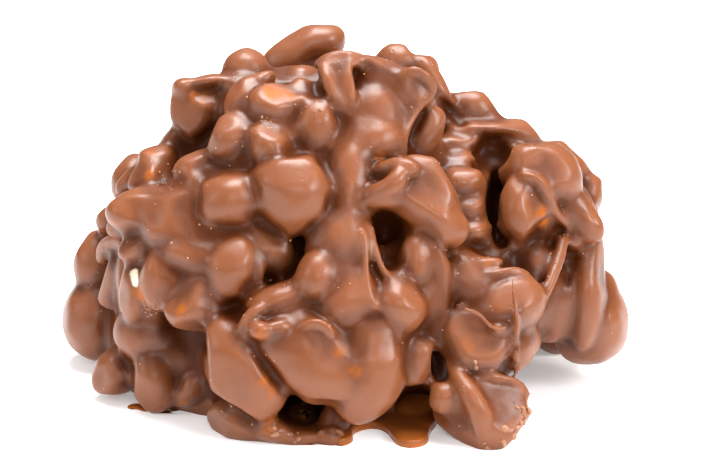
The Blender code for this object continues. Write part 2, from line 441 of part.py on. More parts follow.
def run(name, collection, points, radii):
    """A rounded run of chocolate through the points, as a closed mesh."""
    curve = bpy.data.curves.new(name, "CURVE")
    curve.dimensions = "3D"
    curve.bevel_depth = MM
    curve.bevel_resolution = 2
    curve.resolution_u = 6
    curve.use_fill_caps = True
    spline = curve.splines.new("BEZIER")
    spline.bezier_points.add(len(points) - 1)
    for knot, point, radius in zip(spline.bezier_points, points, radii):
        knot.co = point
        knot.radius = radius
        knot.handle_left_type = knot.handle_right_type = "AUTO"
    guide = add_object(name, curve, collection)
    mesh = evaluated_mesh(guide)
    bm = bmesh.new()
    bm.from_mesh(mesh)
    bmesh.ops.remove_doubles(bm, verts=bm.verts, dist=WELD * MM)
    bmesh.ops.recalc_face_normals(bm, faces=bm.faces)
    bm.to_mesh(mesh)
    bm.free()
    bpy.data.objects.remove(guide)
    return add_object(name, mesh, collection)


def evaluated_mesh(obj):
    bpy.context.view_layer.update()
    graph = bpy.context.evaluated_depsgraph_get()
    return bpy.data.meshes.new_from_object(obj.evaluated_get(graph), depsgraph=graph)


def apply_modifiers(obj):
    mesh = evaluated_mesh(obj)
    obj.modifiers.clear()
    obj.data = mesh


def add_rear_feet(collection, taken):
    """Bits round the sides and the back that stand on the ground."""
    draws = random.Random(SEED + 2)
    first, step = FOOT_BEARINGS
    for number in range(FEET):
        bearing = math.radians(first + number * step + draws.uniform(-FOOT_SWING, FOOT_SWING))
        middle = on_heap(bearing, 0, draws.uniform(*FOOT_DEPTH))
        middle.z = draws.uniform(*FOOT_LIFT)
        sizes = [draws.uniform(*span) for span in FOOT_SIZES]
        turn = Matrix.Rotation(draws.uniform(0, math.tau), 3, "Z")
        flats = random_flats(draws, draws.randint(*REAR_FLATS))
        ellipsoid(f"rear_foot_{number:02d}", collection, middle * MM, sizes, turn, flats)
        taken.append(middle)


def add_rear_bits(collection, taken):
    """Bits over the sides and the back, each clear of the middles that are already taken."""
    draws = random.Random(SEED)
    golden_angle = math.pi * (3 - math.sqrt(5))
    for step in range(REAR_STEPS):
        surface = on_heap(step * golden_angle, 1 - (step + 0.5) / REAR_STEPS)
        if surface.y < REAR_START + REAR_LEAN * surface.z:
            continue
        outward = heap_normal(surface)
        middle = surface - outward * draws.uniform(*REAR_DEPTH)
        middle.z = max(middle.z, REAR_LOWEST)
        if min((middle - other).length for other in taken) < draws.uniform(*REAR_SPACING):
            continue
        sizes = [draws.uniform(*span) for span in REAR_SIZES]
        spin = Matrix.Rotation(draws.uniform(0, math.tau), 3, "Z")
        turn = outward.to_track_quat("Z", "Y").to_matrix() @ spin
        flats = random_flats(draws, draws.randint(*REAR_FLATS))
        ellipsoid(f"rear_bit_{step:03d}", collection, middle * MM, sizes, turn, flats)
        taken.append(middle)


def add_rear_drips(collection):
    """Runs of chocolate down the sides and the back."""
    draws = random.Random(SEED + 1)
    first, step = DRIP_BEARINGS
    for number in range(DRIPS):
        bearing = math.radians(first + number * step + draws.uniform(-DRIP_SWING, DRIP_SWING))
        top, low = draws.uniform(*DRIP_TOP), draws.uniform(*DRIP_LOW)
        points, radii = [], []
        for knot in range(DRIP_POINTS):
            height = top + (low - top) * knot / (DRIP_POINTS - 1)
            wander = draws.uniform(-DRIP_WANDER, DRIP_WANDER)
            points.append(on_heap(bearing + wander, height, DRIP_DEPTH) * MM)
            radii.append(draws.uniform(*DRIP_RADII))
        run(f"rear_drip_{number}", collection, points, radii)


def add_join(obj, operation, collection):
    join = obj.modifiers.new(operation.lower(), "BOOLEAN")
    join.operation = operation
    join.operand_type = "COLLECTION"
    join.collection = collection
    join.solver = "MANIFOLD"


def add_remesh(obj, grain):
    remesh = obj.modifiers.new("grain", "REMESH")
    remesh.mode = "VOXEL"
    remesh.voxel_size = grain * MM


def add_offset(obj, distance):
    offset = obj.modifiers.new("offset", "DISPLACE")
    offset.mid_level = 0
    offset.strength = distance * MM


def add_creases(obj, grain, radius):
    """Rounds every crease that a ball of this radius can't enter."""
    add_remesh(obj, grain)
    add_offset(obj, radius)
    add_remesh(obj, grain)
    add_offset(obj, -radius)


def add_relief(obj):
    for pattern, length, height in RELIEF:
        texture = bpy.data.textures.new(pattern.lower(), pattern)
        texture.noise_scale = length * MM
        relief = obj.modifiers.new("relief", "DISPLACE")
        relief.texture = texture
        relief.strength = height * MM


def add_smoothing(obj, repeats):
    smooth = obj.modifiers.new("smooth", "SMOOTH")
    smooth.factor = 0.5
    smooth.iterations = repeats


def cut_hollows(obj, helpers):
    for name, place, sizes, lean in HOLLOWS:
        nut_bit(helpers, name, place, sizes, lean, (), None)
    add_join(obj, "DIFFERENCE", helpers)
    apply_modifiers(obj)
    remove_all(helpers.objects)


def core(collection, helpers):
    """The inside of the heap, with the hollows cut out of it."""
    (middle, sizes), *others = CORES
    obj = ellipsoid(NAME, collection, Vector(middle) * MM, [2 * s for s in sizes], detail=CORE_DETAIL)
    for number, (middle, sizes) in enumerate(others):
        name = f"core_{number}"
        ellipsoid(name, helpers, Vector(middle) * MM, [2 * s for s in sizes], detail=CORE_DETAIL)
    add_join(obj, "UNION", helpers)
    apply_modifiers(obj)
    remove_all(helpers.objects)
    cut_hollows(obj, helpers)
    return obj


def drape(obj, collection, helpers):
    """Chocolate that bridges the gaps between the bits, and leaves the hollows open."""
    bridges = add_object("bridges", obj.data.copy(), collection)
    add_creases(bridges, DRAPE_GRAIN, DRAPE_REACH)
    add_remesh(bridges, DRAPE_GRAIN)
    add_offset(bridges, -DRAPE_DEPTH)
    add_remesh(bridges, DRAPE_GRAIN)
    apply_modifiers(bridges)
    cut_hollows(bridges, helpers)
    helpers.objects.link(bridges)
    add_join(obj, "UNION", helpers)
    apply_modifiers(obj)
    remove_all(helpers.objects)


def coat(obj):
    """One coat over it all, uneven, with its creases filled."""
    add_creases(obj, GRAIN, FILLET)
    add_relief(obj)
    add_smoothing(obj, SMOOTHING)
    apply_modifiers(obj)


def add_lips(obj, helpers):
    for name, points, radii in RUNS:
        run(name, helpers, [in_window(*point) for point in points], radii)
    add_rear_drips(helpers)
    add_join(obj, "UNION", helpers)
    add_creases(obj, GRAIN, LIP_FILLET)
    add_smoothing(obj, LIP_SMOOTHING)
    apply_modifiers(obj)
    remove_all(helpers.objects)


def thin_out(obj):
    """Fewer triangles, spent where the surface bends most."""
    reduce = obj.modifiers.new("reduce", "DECIMATE")
    reduce.ratio = TRIANGLES / (2 * len(obj.data.polygons))
    apply_modifiers(obj)


def keep_outer_body(obj):
    """Drops loose scraps and closes the bubbles sealed inside, by keeping the largest island."""
    bm = bmesh.new()
    bm.from_mesh(obj.data)
    unseen, islands = set(bm.verts), []
    while unseen:
        queue = [unseen.pop()]
        island = set(queue)
        while queue:
            for edge in queue.pop().link_edges:
                for vert in edge.verts:
                    if vert in unseen:
                        unseen.discard(vert)
                        island.add(vert)
                        queue.append(vert)
        islands.append(island)
    largest = max(islands, key=len)
    loose = [vert for island in islands if island is not largest for vert in island]
    bmesh.ops.delete(bm, geom=loose, context="VERTS")
    bm.to_mesh(obj.data)
    bm.free()


def cut_base(obj, helpers):
    """The flat base that the cluster sits on: all that is below the ground goes."""
    bm = bmesh.new()
    below = Matrix.Translation((0, 0, -GROUND * MM / 2))
    bmesh.ops.create_cube(bm, size=GROUND * MM, matrix=below)
    mesh = bpy.data.meshes.new("ground")
    bm.to_mesh(mesh)
    bm.free()
    add_object("ground", mesh, helpers)
    add_join(obj, "DIFFERENCE", helpers)
    apply_modifiers(obj)
    remove_all(helpers.objects)


def centre_on_base(bm):
    """Moves the cluster so that the middle of its bounds, on the base, is the origin."""
    spans = [[vert.co[axis] for vert in bm.verts] for axis in range(2)]
    shift = Vector([-(min(span) + max(span)) / 2 for span in spans] + [0])
    bmesh.ops.translate(bm, verts=bm.verts[:], vec=shift)


def finish(obj):
    bm = bmesh.new()
    bm.from_mesh(obj.data)
    bmesh.ops.dissolve_degenerate(bm, edges=bm.edges[:], dist=WELD * MM)
    bmesh.ops.triangulate(bm, faces=bm.faces[:])
    bmesh.ops.recalc_face_normals(bm, faces=bm.faces[:])
    centre_on_base(bm)
    bm.to_mesh(obj.data)
    bm.free()
    obj.data.shade_smooth()


def milk_chocolate():
    material = bpy.data.materials.new("milk_chocolate")
    material.use_nodes = True
    shader = material.node_tree.nodes["Principled BSDF"]
    shader.inputs["Base Color"].default_value = CHOCOLATE
    shader.inputs["Roughness"].default_value = SATIN
    shader.inputs["Metallic"].default_value = 0.0
    return material


def main():
    for obj in list(bpy.data.objects):
        bpy.data.objects.remove(obj)
    cluster = bpy.data.collections.new(NAME)
    bpy.context.scene.collection.children.link(cluster)
    helpers = bpy.data.collections.new("helpers")
    bpy.context.scene.collection.children.link(helpers)

    obj = core(cluster, helpers)
    draws = random.Random(SEED)
    for name, place, sizes, lean, flats in NUT_BITS:
        nut_bit(helpers, name, place, sizes, lean, flats, draws)
    taken = [in_window(*row[1]) / MM for row in NUT_BITS]
    add_rear_feet(helpers, taken)
    add_rear_bits(helpers, taken)
    add_join(obj, "UNION", helpers)
    apply_modifiers(obj)
    remove_all(helpers.objects)
    drape(obj, cluster, helpers)
    coat(obj)
    add_lips(obj, helpers)
    thin_out(obj)
    keep_outer_body(obj)
    cut_base(obj, helpers)
    keep_outer_body(obj)
    finish(obj)
    obj.data.materials.append(milk_chocolate())
    bpy.data.collections.remove(helpers)


main()
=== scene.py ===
"""Dresses the chocolate pecan cluster in a fine milk chocolate coat, with melt, bubbles and crumbs.

Lengths in the tables are millimetres and angles are degrees. X runs to the right, Y to the back and Z up.
"""

import json
import math
import random

import bpy
import numpy as np
from mathutils import Euler, Matrix, Vector
from mathutils.bvhtree import BVHTree

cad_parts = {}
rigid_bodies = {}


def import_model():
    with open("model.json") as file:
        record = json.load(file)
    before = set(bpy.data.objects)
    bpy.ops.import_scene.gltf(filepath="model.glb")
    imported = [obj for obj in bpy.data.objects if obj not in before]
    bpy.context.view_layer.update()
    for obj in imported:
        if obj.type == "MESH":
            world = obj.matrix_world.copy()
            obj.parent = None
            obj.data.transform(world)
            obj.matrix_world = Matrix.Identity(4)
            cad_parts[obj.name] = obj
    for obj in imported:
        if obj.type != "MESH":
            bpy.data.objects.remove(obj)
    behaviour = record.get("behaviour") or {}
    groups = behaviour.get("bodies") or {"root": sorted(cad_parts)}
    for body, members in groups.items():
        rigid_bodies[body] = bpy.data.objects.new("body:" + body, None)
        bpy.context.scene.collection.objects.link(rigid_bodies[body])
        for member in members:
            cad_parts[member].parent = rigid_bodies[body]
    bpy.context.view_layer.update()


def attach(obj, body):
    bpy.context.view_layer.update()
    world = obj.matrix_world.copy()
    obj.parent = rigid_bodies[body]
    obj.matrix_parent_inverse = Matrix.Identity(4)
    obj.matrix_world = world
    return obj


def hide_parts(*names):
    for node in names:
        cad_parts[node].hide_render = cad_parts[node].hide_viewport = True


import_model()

bl_info = {
    "name": "Chocolate pecan cluster",
    "version": (1, 0, 0),
    "blender": (4, 5, 0),
    "location": "View3D > Sidebar > Pecan cluster",
    "description": "Models a cluster of pecan pieces under a milk chocolate coat",
    "category": "Object",
}

CAD_NODE = "pecan_cluster"
COAT = "milk_chocolate_coat"
BODY = "root"
MM = 0.001
SEED = 11

# The cluster as a whole: an uneven heap, half an ellipsoid that its outermost bits touch.
HALF_WIDTH, HALF_DEPTH, HEIGHT = 28.0, 24.5, 31.2
HEAP_MIDDLE = -1.0
# To the right the heap slumps by this share of its height, fully so this far out.
SLUMP, SLUMP_REACH = 0.055, 12.0

# The front view that places are read in: a window of this size at the heap's middle
WINDOW_WIDTH, WINDOW_HEIGHT = 70.1, 47.2
WINDOW_MIDDLE = Vector((0.4, 0.0, 13.0))
SIGHT_DISTANCE = 230.0
SIGHT_TILT = math.radians(17)
SENSOR_WIDTH = 36.0
NEAREST_SEEN = 10.0

# The rear, laid out by rule. Pairs are the least and the most of a random draw.
REAR_STEPS = 560
REAR_START, REAR_LEAN = -1.0, 0.16  # its bits start behind this depth, and higher up farther back
REAR_SPACING = (3.5, 4.9)
REAR_DEPTH = (2.0, 4.2)
REAR_LOWEST = 1.8
REAR_SIZES = ((5.4, 9.5), (4.4, 6.6), (4.5, 6.2))
REAR_FLATS = (2, 6)
FEET = 11
FOOT_BEARINGS, FOOT_SWING = (105.0, 14.6), 4.0  # the first bearing and the step, and the random swing
FOOT_DEPTH = (3.2, 5.2)
FOOT_LIFT = (1.0, 2.2)
FOOT_SIZES = ((6.5, 9.5), (5.0, 7.5), (4.6, 6.4))
FLAT_KEEP = (0.66, 0.82)
DRIPS = 11
DRIP_BEARINGS, DRIP_SWING = (78.0, 20.5), 5.0
DRIP_TOP, DRIP_LOW = (0.55, 0.9), (0.12, 0.4)  # shares of the heap's height
DRIP_WANDER = 0.1  # radians
DRIP_RADII = (1.0, 1.9)
DRIP_DEPTH = 3.0
DRIP_POINTS = 5

# How finely the pieces are modelled
BIT_DETAIL, CORE_DETAIL, BEAD_DETAIL = 3, 5, 2
RUN_ROUNDNESS, CURVE_STEPS = 2, 6
EVENING = 0.5  # how far one round of smoothing moves a corner to the middle of its neighbours
WELD = 0.001
SHARP = math.radians(65)  # an edge sharper than this stays a line in the shading

# The inside: middles and sizes of its three overlapping lumps
CORES = (
    ((-3.5, -0.8, 4.0), (40.8, 35.6, 50.8)),
    ((7.0, 2.6, 9.0), (31.0, 25.2, 27.0)),
    ((-1.6, 2.6, 6.0), (39.2, 31.6, 43.6)),
)

# Nut bits: name, (across, down, depth) of the middle in the window, (length, width, thickness), lean of
# the length in degrees, and the flats that the bit broke along. A flat is (clock, tilt, keep): the way it
# faces in the window in degrees from the right, how far it turns to the viewer, and how much of the bit's
# reach that way is kept. A number stands for that many flats at random.
NUT_BITS = (
    # the crown and the nuts under it
    ("crown_nut", (30.3, 5.45, 6.0), (9.5, 5.4, 5.6), 30, ((88, 0, 0.9), (135, 0, 0.9), (300, 50, 0.8))),
    ("crown_knob", (24.6, 7.1, -2.6), (5.0, 4.7, 5.0), 60, 0),
    ("knob_foot", (24.6, 9.0, -4.6), (6.0, 3.8, 5.0), 0, 0),
    ("crown_saddle", (29.2, 8.2, -2.5), (7.4, 3.4, 6.0), 5, ((90, 30, 0.6),)),
    ("crown_rear", (36.2, 9.2, -3.0), (9.6, 6.0, 7.0), 0, ((90, 20, 0.8),)),
    ("arch_wall", (35.6, 7.6, -7.4), (7.8, 4.4, 4.0), -12, 0),
    ("arch_fill", (35.1, 6.3, -9.7), (2.8, 1.7, 1.8), -20, 0),
    ("bowl", (37.2, 9.1, -8.4), (7.8, 6.8, 4.6), -10, 0),
    ("arch_side", (38.4, 9.6, -8.4), (5.4, 3.2, 2.8), 82, 0),
    ("curl_rear", (41.8, 11.0, -2.0), (5.6, 4.6, 4.0), 70, 0),
    ("saddle_lump", (30.0, 7.5, -3.0), (3.0, 2.2, 3.0), 0, 1),
    ("left_chunk", (19.6, 11.0, -5.0), (6.5, 5.6, 5.8), 82,
     ((180, 0, 0.86), (228, 10, 0.78), (300, 15, 0.8), (20, 10, 0.84), (200, 62, 0.78),
      (70, 45, 0.76))),
    ("left_shelf", (20.4, 8.2, -4.8), (5.0, 1.4, 4.0), 6, 0),
    ("chunk_lip", (18.4, 8.8, -5.0), (2.6, 2.4, 4.6), 0, 0),
    ("gold_nut", (27.8, 10.8, -11.4), (5.8, 5.0, 5.0), -15,
     ((78, 40, 0.64), (318, 8, 0.68), (335, 52, 0.76), (250, 45, 0.8))),
    ("gold_side", (24.7, 10.6, -9.4), (6.0, 4.6, 5.0), 75, ((150, 20, 0.8), (20, 45, 0.8))),
    ("gold_brow", (26.2, 7.9, -7.8), (3.4, 1.6, 2.8), 20, 0),
    ("gold_tip", (30.1, 10.1, -12.0), (1.4, 1.1, 1.4), 60, 0),
    ("web_knob", (31.6, 12.7, -12.4), (5.2, 4.6, 4.8), 75, ((150, 15, 0.86), (20, 20, 0.88))),
    ("web_fill", (32.6, 14.4, -12.2), (6.0, 4.6, 4.6), 80, 0),
    ("web_top", (31.3, 9.9, -9.4), (5.6, 3.0, 3.8), -42, ((45, 40, 0.7),)),
    ("pink_nut", (26.9, 14.5, -14.2), (4.9, 4.0, 4.8), -48,
     ((75, 40, 0.78), (185, 25, 0.84), (330, 25, 0.84))),
    ("web_facet", (28.4, 13.3, -13.3), (4.0, 2.6, 3.0), -68, ((80, 57, 0.52),)),
    ("brown_nut", (23.1, 13.7, -12.4), (4.8, 4.4, 4.8), 62, ((160, 10, 0.84), (110, 45, 0.84))),
    ("brown_bead", (22.9, 13.4, -13.8), (1.9, 1.6, 1.8), 0, 0),
    ("brown_foot", (22.3, 14.9, -12.8), (2.6, 1.6, 3.0), 30, 0),
    ("brown_fill", (24.9, 16.2, -12.6), (5.4, 3.6, 4.4), 0, 0),
    # the middle left
    ("big_nut", (29.2, 19.3, -16.0), (8.5, 7.9, 7.4), -20,
     ((95, 14, 0.86), (35, 12, 0.89), (345, 18, 0.88), (300, 15, 0.86), (232, 20, 0.84),
      (185, 25, 0.84), (75, 60, 0.9), (212, 50, 0.84))),
    ("near_nut", (23.1, 20.2, -15.4), (6.8, 5.6, 6.6), 15, ((270, 20, 0.88), (168, 15, 0.88))),
    ("near_back", (22.6, 17.3, -12.4), (6.6, 3.0, 4.4), -8, ((100, 30, 0.8),)),
    ("small_nut", (19.2, 18.6, -13.2), (3.6, 3.4, 4.0), 30, 2),
    ("finger_nut", (19.4, 16.4, -12.0), (4.6, 2.1, 3.4), 30, ((110, 30, 0.8),)),
    # the left shoulder and the coat that runs off it
    ("shoulder_top", (15.5, 15.9, -7.4), (3.8, 3.0, 3.6), 0, ((90, 25, 0.7), (180, 20, 0.85))),
    ("shoulder_nut", (15.1, 17.9, -9.0), (4.8, 3.8, 4.8), 20,
     ((150, 35, 0.68), (20, 40, 0.78), (270, 30, 0.7))),
    ("shoulder_back", (13.0, 17.7, -2.0), (5.0, 3.6, 5.4), 60, ((140, 0, 0.84),)),
    ("shoulder_edge", (12.9, 18.0, -6.2), (3.6, 1.5, 3.6), 52, 0),
    ("shoulder_web", (17.3, 14.5, -4.6), (7.0, 3.0, 3.8), 55, ((145, 20, 0.8),)),
    ("dark_web", (19.8, 15.0, -4.8), (5.0, 3.6, 4.0), 10, 0),
    ("left_sheet", (15.8, 21.2, -13.2), (10.4, 5.2, 6.6), 3,
     ((265, 30, 0.82), (98, 70, 0.68), (95, 20, 0.84))),
    ("left_brow", (12.3, 22.7, -10.8), (3.6, 2.2, 3.6), 5, 0),
    ("mid_sheet", (20.6, 23.0, -15.3), (10.6, 6.6, 5.6), -22, ((95, 72, 0.74),)),
    ("sheet_fill", (15.8, 24.0, -12.6), (6.0, 4.2, 5.0), 12, 0),
    ("sheet_join", (17.8, 22.2, -14.4), (8.0, 6.0, 5.6), -8, ((98, 70, 0.72),)),
    # the left side
    ("rear_speck", (10.8, 21.9, -1.0), (3.2, 2.4, 3.4), 70, ((120, 0, 0.75),)),
    ("rear_bulge_top", (9.8, 26.2, 0.5), (6.6, 5.4, 6.6), 78, ((150, 0, 0.82),)),
    ("rear_bulge", (9.9, 31.6, -0.5), (9.2, 7.4, 8.6), 80, ((200, 0, 0.94),)),
    ("side_lobe", (13.0, 27.8, -7.4), (8.4, 3.0, 6.4), 86, 0),
    ("side_foot", (13.4, 32.4, -8.0), (6.6, 3.4, 6.2), 85, 0),
    # the lower left
    ("fold_nut", (14.0, 24.6, -13.8), (4.8, 2.8, 4.2), 24, ((140, 40, 0.76), (320, 30, 0.76))),
    ("bright_nut", (13.7, 28.9, -13.9), (6.2, 3.6, 4.8), 86,
     ((80, 25, 0.74), (190, 30, 0.8), (10, 50, 0.88))),
    ("lobe_low", (15.7, 30.2, -13.6), (4.8, 4.4, 4.8), 0, ((60, 65, 0.8),)),
    ("lobe_nut", (17.2, 27.4, -15.8), (7.6, 5.8, 5.4), 60, ((100, 65, 0.82),)),
    ("lobe_big", (23.5, 26.8, -18.2), (6.4, 5.2, 5.6), 66, ((320, 20, 0.84), (110, 60, 0.84))),
    ("lobe_web", (20.6, 25.8, -16.8), (8.0, 4.6, 5.2), -12, 0),
    ("amber_nut", (19.6, 30.3, -18.4), (6.6, 5.2, 5.8), 38,
     ((5, 15, 0.84), (150, 45, 0.76), (275, 25, 0.8), (20, 60, 0.84))),
    ("amber_join", (21.4, 28.7, -17.4), (4.6, 3.4, 4.4), 0, 0),
    ("left_body", (15.6, 33.2, -12.2), (8.0, 6.8, 6.4), 0, 0),
    ("left_lower", (18.2, 35.4, -12.6), (7.2, 7.4, 6.2), 0, 0),
    # the left feet
    ("foot_one", (11.8, 37.0, -11.2), (6.0, 5.0, 5.4), 50,
     ((270, 0, 0.84), (128, 15, 0.76), (165, 5, 0.84), (60, 50, 0.74), (185, 40, 0.74), (315, 35, 0.8),
      (10, 10, 0.8))),
    ("foot_two", (15.5, 37.9, -14.2), (6.8, 4.8, 5.8), 95,
     ((180, 10, 0.84), (95, 10, 0.84), (225, 45, 0.78))),
    ("foot_three", (19.2, 38.6, -15.0), (5.0, 2.4, 4.0), 62, 0),
    # the front
    ("slab", (24.2, 36.9, -22.0), (10.9, 6.9, 5.8), -54,
     ((183, 0, 0.74), (37, 12, 0.74), (236, 5, 0.84), (222, 68, 0.8))),
    ("slab_back", (24.2, 36.2, -16.6), (7.6, 6.6, 7.0), 0, 0),
    ("base_lobe", (24.8, 42.2, -19.2), (8.4, 4.6, 7.4), -12, ((200, 30, 0.84),)),
    ("base_nut", (27.2, 42.9, -22.6), (3.2, 2.2, 2.8), -8, ((90, 40, 0.7),)),
    ("base_bead", (30.0, 43.5, -18.8), (9.0, 2.6, 10.0), -1, 0),
    ("front_half", (31.6, 35.8, -21.8), (14.4, 8.4, 7.0), -30,
     ((232, 8, 0.86), (268, 12, 0.8), (60, 42, 0.84))),
    ("half_ridge", (32.7, 34.6, -22.5), (10.0, 4.4, 4.8), -42, 0),
    ("front_round", (36.8, 36.4, -21.8), (11.4, 7.2, 6.6), 78, ((0, 20, 0.9),)),
    ("front_neck", (34.4, 30.0, -20.0), (8.4, 7.2, 6.0), 90, 0),
    ("front_leg", (33.5, 41.8, -20.6), (4.2, 3.0, 3.4), 70, 1),
    ("front_wedge", (33.1, 43.9, -22.4), (2.8, 1.7, 2.2), -15, 3),
    ("amber_bump", (25.9, 33.0, -23.8), (2.1, 1.6, 2.2), 0, 0),
    ("inner_bump", (27.9, 32.7, -23.2), (2.0, 1.7, 2.0), 20, 0),
    # the smooth run of chocolate down the middle
    ("curtain_top", (36.6, 13.4, -10.3), (10.4, 8.6, 7.0), 88, 0),
    ("curtain_mid", (34.9, 19.5, -15.2), (10.0, 5.0, 5.2), 86, 0),
    ("curtain_low", (34.3, 25.5, -18.0), (9.6, 7.0, 5.2), 90, 0),
    ("curtain_side", (37.6, 14.4, -12.0), (5.4, 5.6, 5.4), 0, 0),
    ("curtain_shoulder", (35.3, 17.0, -13.0), (12.0, 5.4, 5.8), 74, 0),
    ("curtain_knob", (31.6, 27.8, -20.4), (4.8, 4.2, 4.6), 75, ((150, 20, 0.86), (300, 20, 0.86))),
    ("curtain_web", (28.2, 29.9, -20.4), (7.4, 3.2, 4.4), 15, 0),
    ("pit_nut", (26.9, 24.6, -16.6), (6.8, 4.2, 4.6), -62, ((60, 50, 0.76),)),
    ("pit_bead", (22.9, 30.8, -17.6), (3.4, 3.2, 3.4), 0, 0),
    ("pit_lens", (22.6, 31.1, -18.8), (1.7, 2.4, 2.0), 0, 0),
    ("pit_bit", (39.2, 25.7, -16.6), (2.8, 3.2, 3.0), 0, 0),
    # the curled lip at the top
    ("tongue", (33.4, 8.0, -10.2), (5.0, 2.2, 2.6), -76, 0),
    ("curl_wall", (39.6, 10.8, -9.2), (6.6, 3.2, 3.6), 80, 0),
    ("ear", (40.9, 9.5, -9.3), (5.6, 4.2, 3.0), -66, 0),
    ("ear_low", (39.6, 12.8, -10.6), (5.6, 2.6, 3.4), 82, 0),
    # the right skyline
    ("rear_peak", (39.7, 6.3, 0.5), (5.0, 4.6, 4.6), 20, ((130, 0, 0.88), (80, 0, 0.86), (20, 0, 0.62))),
    ("rear_peak_b", (42.0, 6.9, 0.5), (4.0, 3.4, 4.4), -10, ((90, 0, 0.8),)),
    ("rear_ridge", (43.8, 9.0, -1.4), (8.0, 2.0, 3.4), -64, 0),
    ("rear_plate", (47.0, 11.0, 0.2), (5.8, 4.4, 4.8), -14,
     ((92, 0, 0.76), (40, 0, 0.84), (270, 40, 0.8))),
    ("rear_plate_b", (49.2, 12.2, -1.0), (3.2, 2.4, 3.4), -35, 1),
    ("rear_slope", (45.6, 12.6, -1.6), (4.6, 2.6, 3.6), -45, 1),
    ("rear_chunk", (51.4, 13.4, -2.2), (5.6, 3.4, 4.8), -14, ((98, 0, 0.84), (35, 0, 0.8))),
    ("right_brow", (56.0, 16.2, -1.0), (7.0, 4.1, 5.4), -38, ((92, 0, 0.72), (50, 0, 0.78))),
    ("right_knob", (58.6, 19.6, -1.4), (5.6, 3.2, 5.0), 80, ((50, 0, 0.82), (0, 0, 0.88))),
    ("right_tail", (58.0, 22.4, -2.6), (4.4, 2.8, 4.6), 95, 1),
    # the hooded nut on the right
    ("hood", (54.0, 17.4, -8.8), (8.8, 6.6, 7.6), -22, ((95, 8, 0.84), (150, 10, 0.86), (70, 74, 0.84))),
    ("hood_face", (52.3, 20.9, -12.0), (8.2, 5.0, 5.6), 85,
     ((185, 8, 0.86), (232, 12, 0.74), (318, 12, 0.68), (100, 45, 0.84), (20, 50, 0.7))),
    ("hood_under", (51.4, 24.1, -8.6), (3.4, 2.2, 3.4), 60, 1),
    ("hood_nut", (54.4, 22.2, -10.2), (5.0, 2.8, 4.0), 68, 0),
    ("hood_fill", (56.0, 21.8, -8.4), (4.6, 3.6, 4.0), 60, 0),
    ("hood_slope", (57.0, 20.2, -6.8), (10.2, 4.4, 5.0), -60, ((30, 20, 0.74), (215, 30, 0.74))),
    ("hood_sheet", (57.0, 20.3, -10.0), (9.4, 3.6, 3.0), -52, ((60, 60, 0.8),)),
    ("hood_rear", (56.2, 21.8, -4.4), (7.0, 6.4, 6.0), 0, 0),
    ("hood_ledge", (56.3, 23.9, -10.0), (3.8, 1.6, 3.4), -25, ((80, 20, 0.6),)),
    # the hollow beside it
    ("recess_a", (45.9, 14.3, -4.8), (4.8, 2.3, 4.0), 0, ((90, 20, 0.8),)),
    ("recess_b", (45.4, 15.8, -7.0), (4.6, 1.7, 3.6), -4, ((90, 30, 0.6),)),
    ("recess_c", (42.0, 14.7, -6.4), (3.2, 2.6, 3.8), 30, 1),
    ("fin_web", (42.7, 13.0, -8.9), (5.2, 3.2, 3.8), 62, 0),
    ("recess_d", (49.6, 14.4, -1.6), (4.4, 3.8, 4.4), 0, 0),
    ("ledge", (48.4, 12.9, -3.4), (8.4, 1.5, 4.6), -3, 0),
    ("stack_one", (46.3, 18.1, -9.8), (4.6, 3.2, 4.6), 8, ((90, 20, 0.8), (0, 15, 0.84), (80, 60, 0.8))),
    ("stack_two", (46.6, 20.6, -10.8), (4.4, 3.4, 4.4), -10,
     ((90, 45, 0.72), (0, 15, 0.84), (270, 10, 0.8))),
    ("stack_three", (47.0, 23.1, -11.8), (3.9, 3.2, 4.4), 0, ((90, 30, 0.7), (270, 20, 0.8))),
    # the middle right
    ("plate", (42.6, 20.2, -16.0), (10.0, 7.8, 5.8), -50,
     ((28, 6, 0.68), (150, 15, 0.8), (238, 6, 0.64), (262, 10, 0.84), (62, 66, 0.7), (235, 50, 0.74),
      (10, 42, 0.78))),
    ("plate_tip", (45.0, 23.1, -16.6), (3.0, 2.2, 3.2), -20, ((270, 10, 0.8),)),
    ("plate_root", (38.4, 20.0, -16.6), (5.0, 2.4, 3.8), 0, ((270, 10, 0.7),)),
    ("bean_one", (41.6, 26.1, -18.0), (5.2, 3.2, 4.0), 96, 0),
    ("bean_fill", (42.4, 29.4, -17.8), (7.0, 3.6, 4.4), 86, 0),
    ("bean_two", (39.9, 28.0, -18.8), (3.6, 2.2, 3.4), -35, ((90, 20, 0.84),)),
    ("bean_three", (40.0, 30.6, -20.6), (5.2, 4.2, 4.8), -50, ((40, 40, 0.84),)),
    ("bean_four", (41.6, 35.6, -19.6), (6.4, 3.4, 4.4), 76, ((60, 40, 0.76),)),
    ("bean_back", (42.4, 29.2, -16.0), (9.0, 5.0, 4.6), 90, 0),
    ("bean_knob", (40.8, 33.6, -18.4), (1.8, 2.2, 2.6), 0, 0),
    # the lower right
    ("right_web", (46.4, 28.4, -15.6), (8.8, 6.0, 6.0), -30, 0),
    ("lens", (48.6, 26.3, -15.8), (3.6, 1.5, 1.8), 5, ((90, 0, 0.7),)),
    ("round_nut", (50.7, 30.6, -16.8), (7.5, 5.7, 6.8), 20, ((100, 10, 0.92), (82, 68, 0.86))),
    ("right_core", (50.5, 30.0, -11.0), (10.0, 9.0, 8.0), 0, 0),
    ("low_nut", (47.3, 34.3, -18.6), (8.4, 7.6, 6.4), -50,
     ((150, 10, 0.84), (90, 15, 0.86), (330, 20, 0.84), (70, 72, 0.76), (200, 45, 0.82))),
    ("low_body", (50.4, 33.9, -15.4), (7.0, 5.6, 7.6), 0, ((290, 0, 0.84),)),
    ("low_join", (50.2, 34.7, -17.0), (6.2, 5.4, 5.8), 0, ((80, 70, 0.8),)),
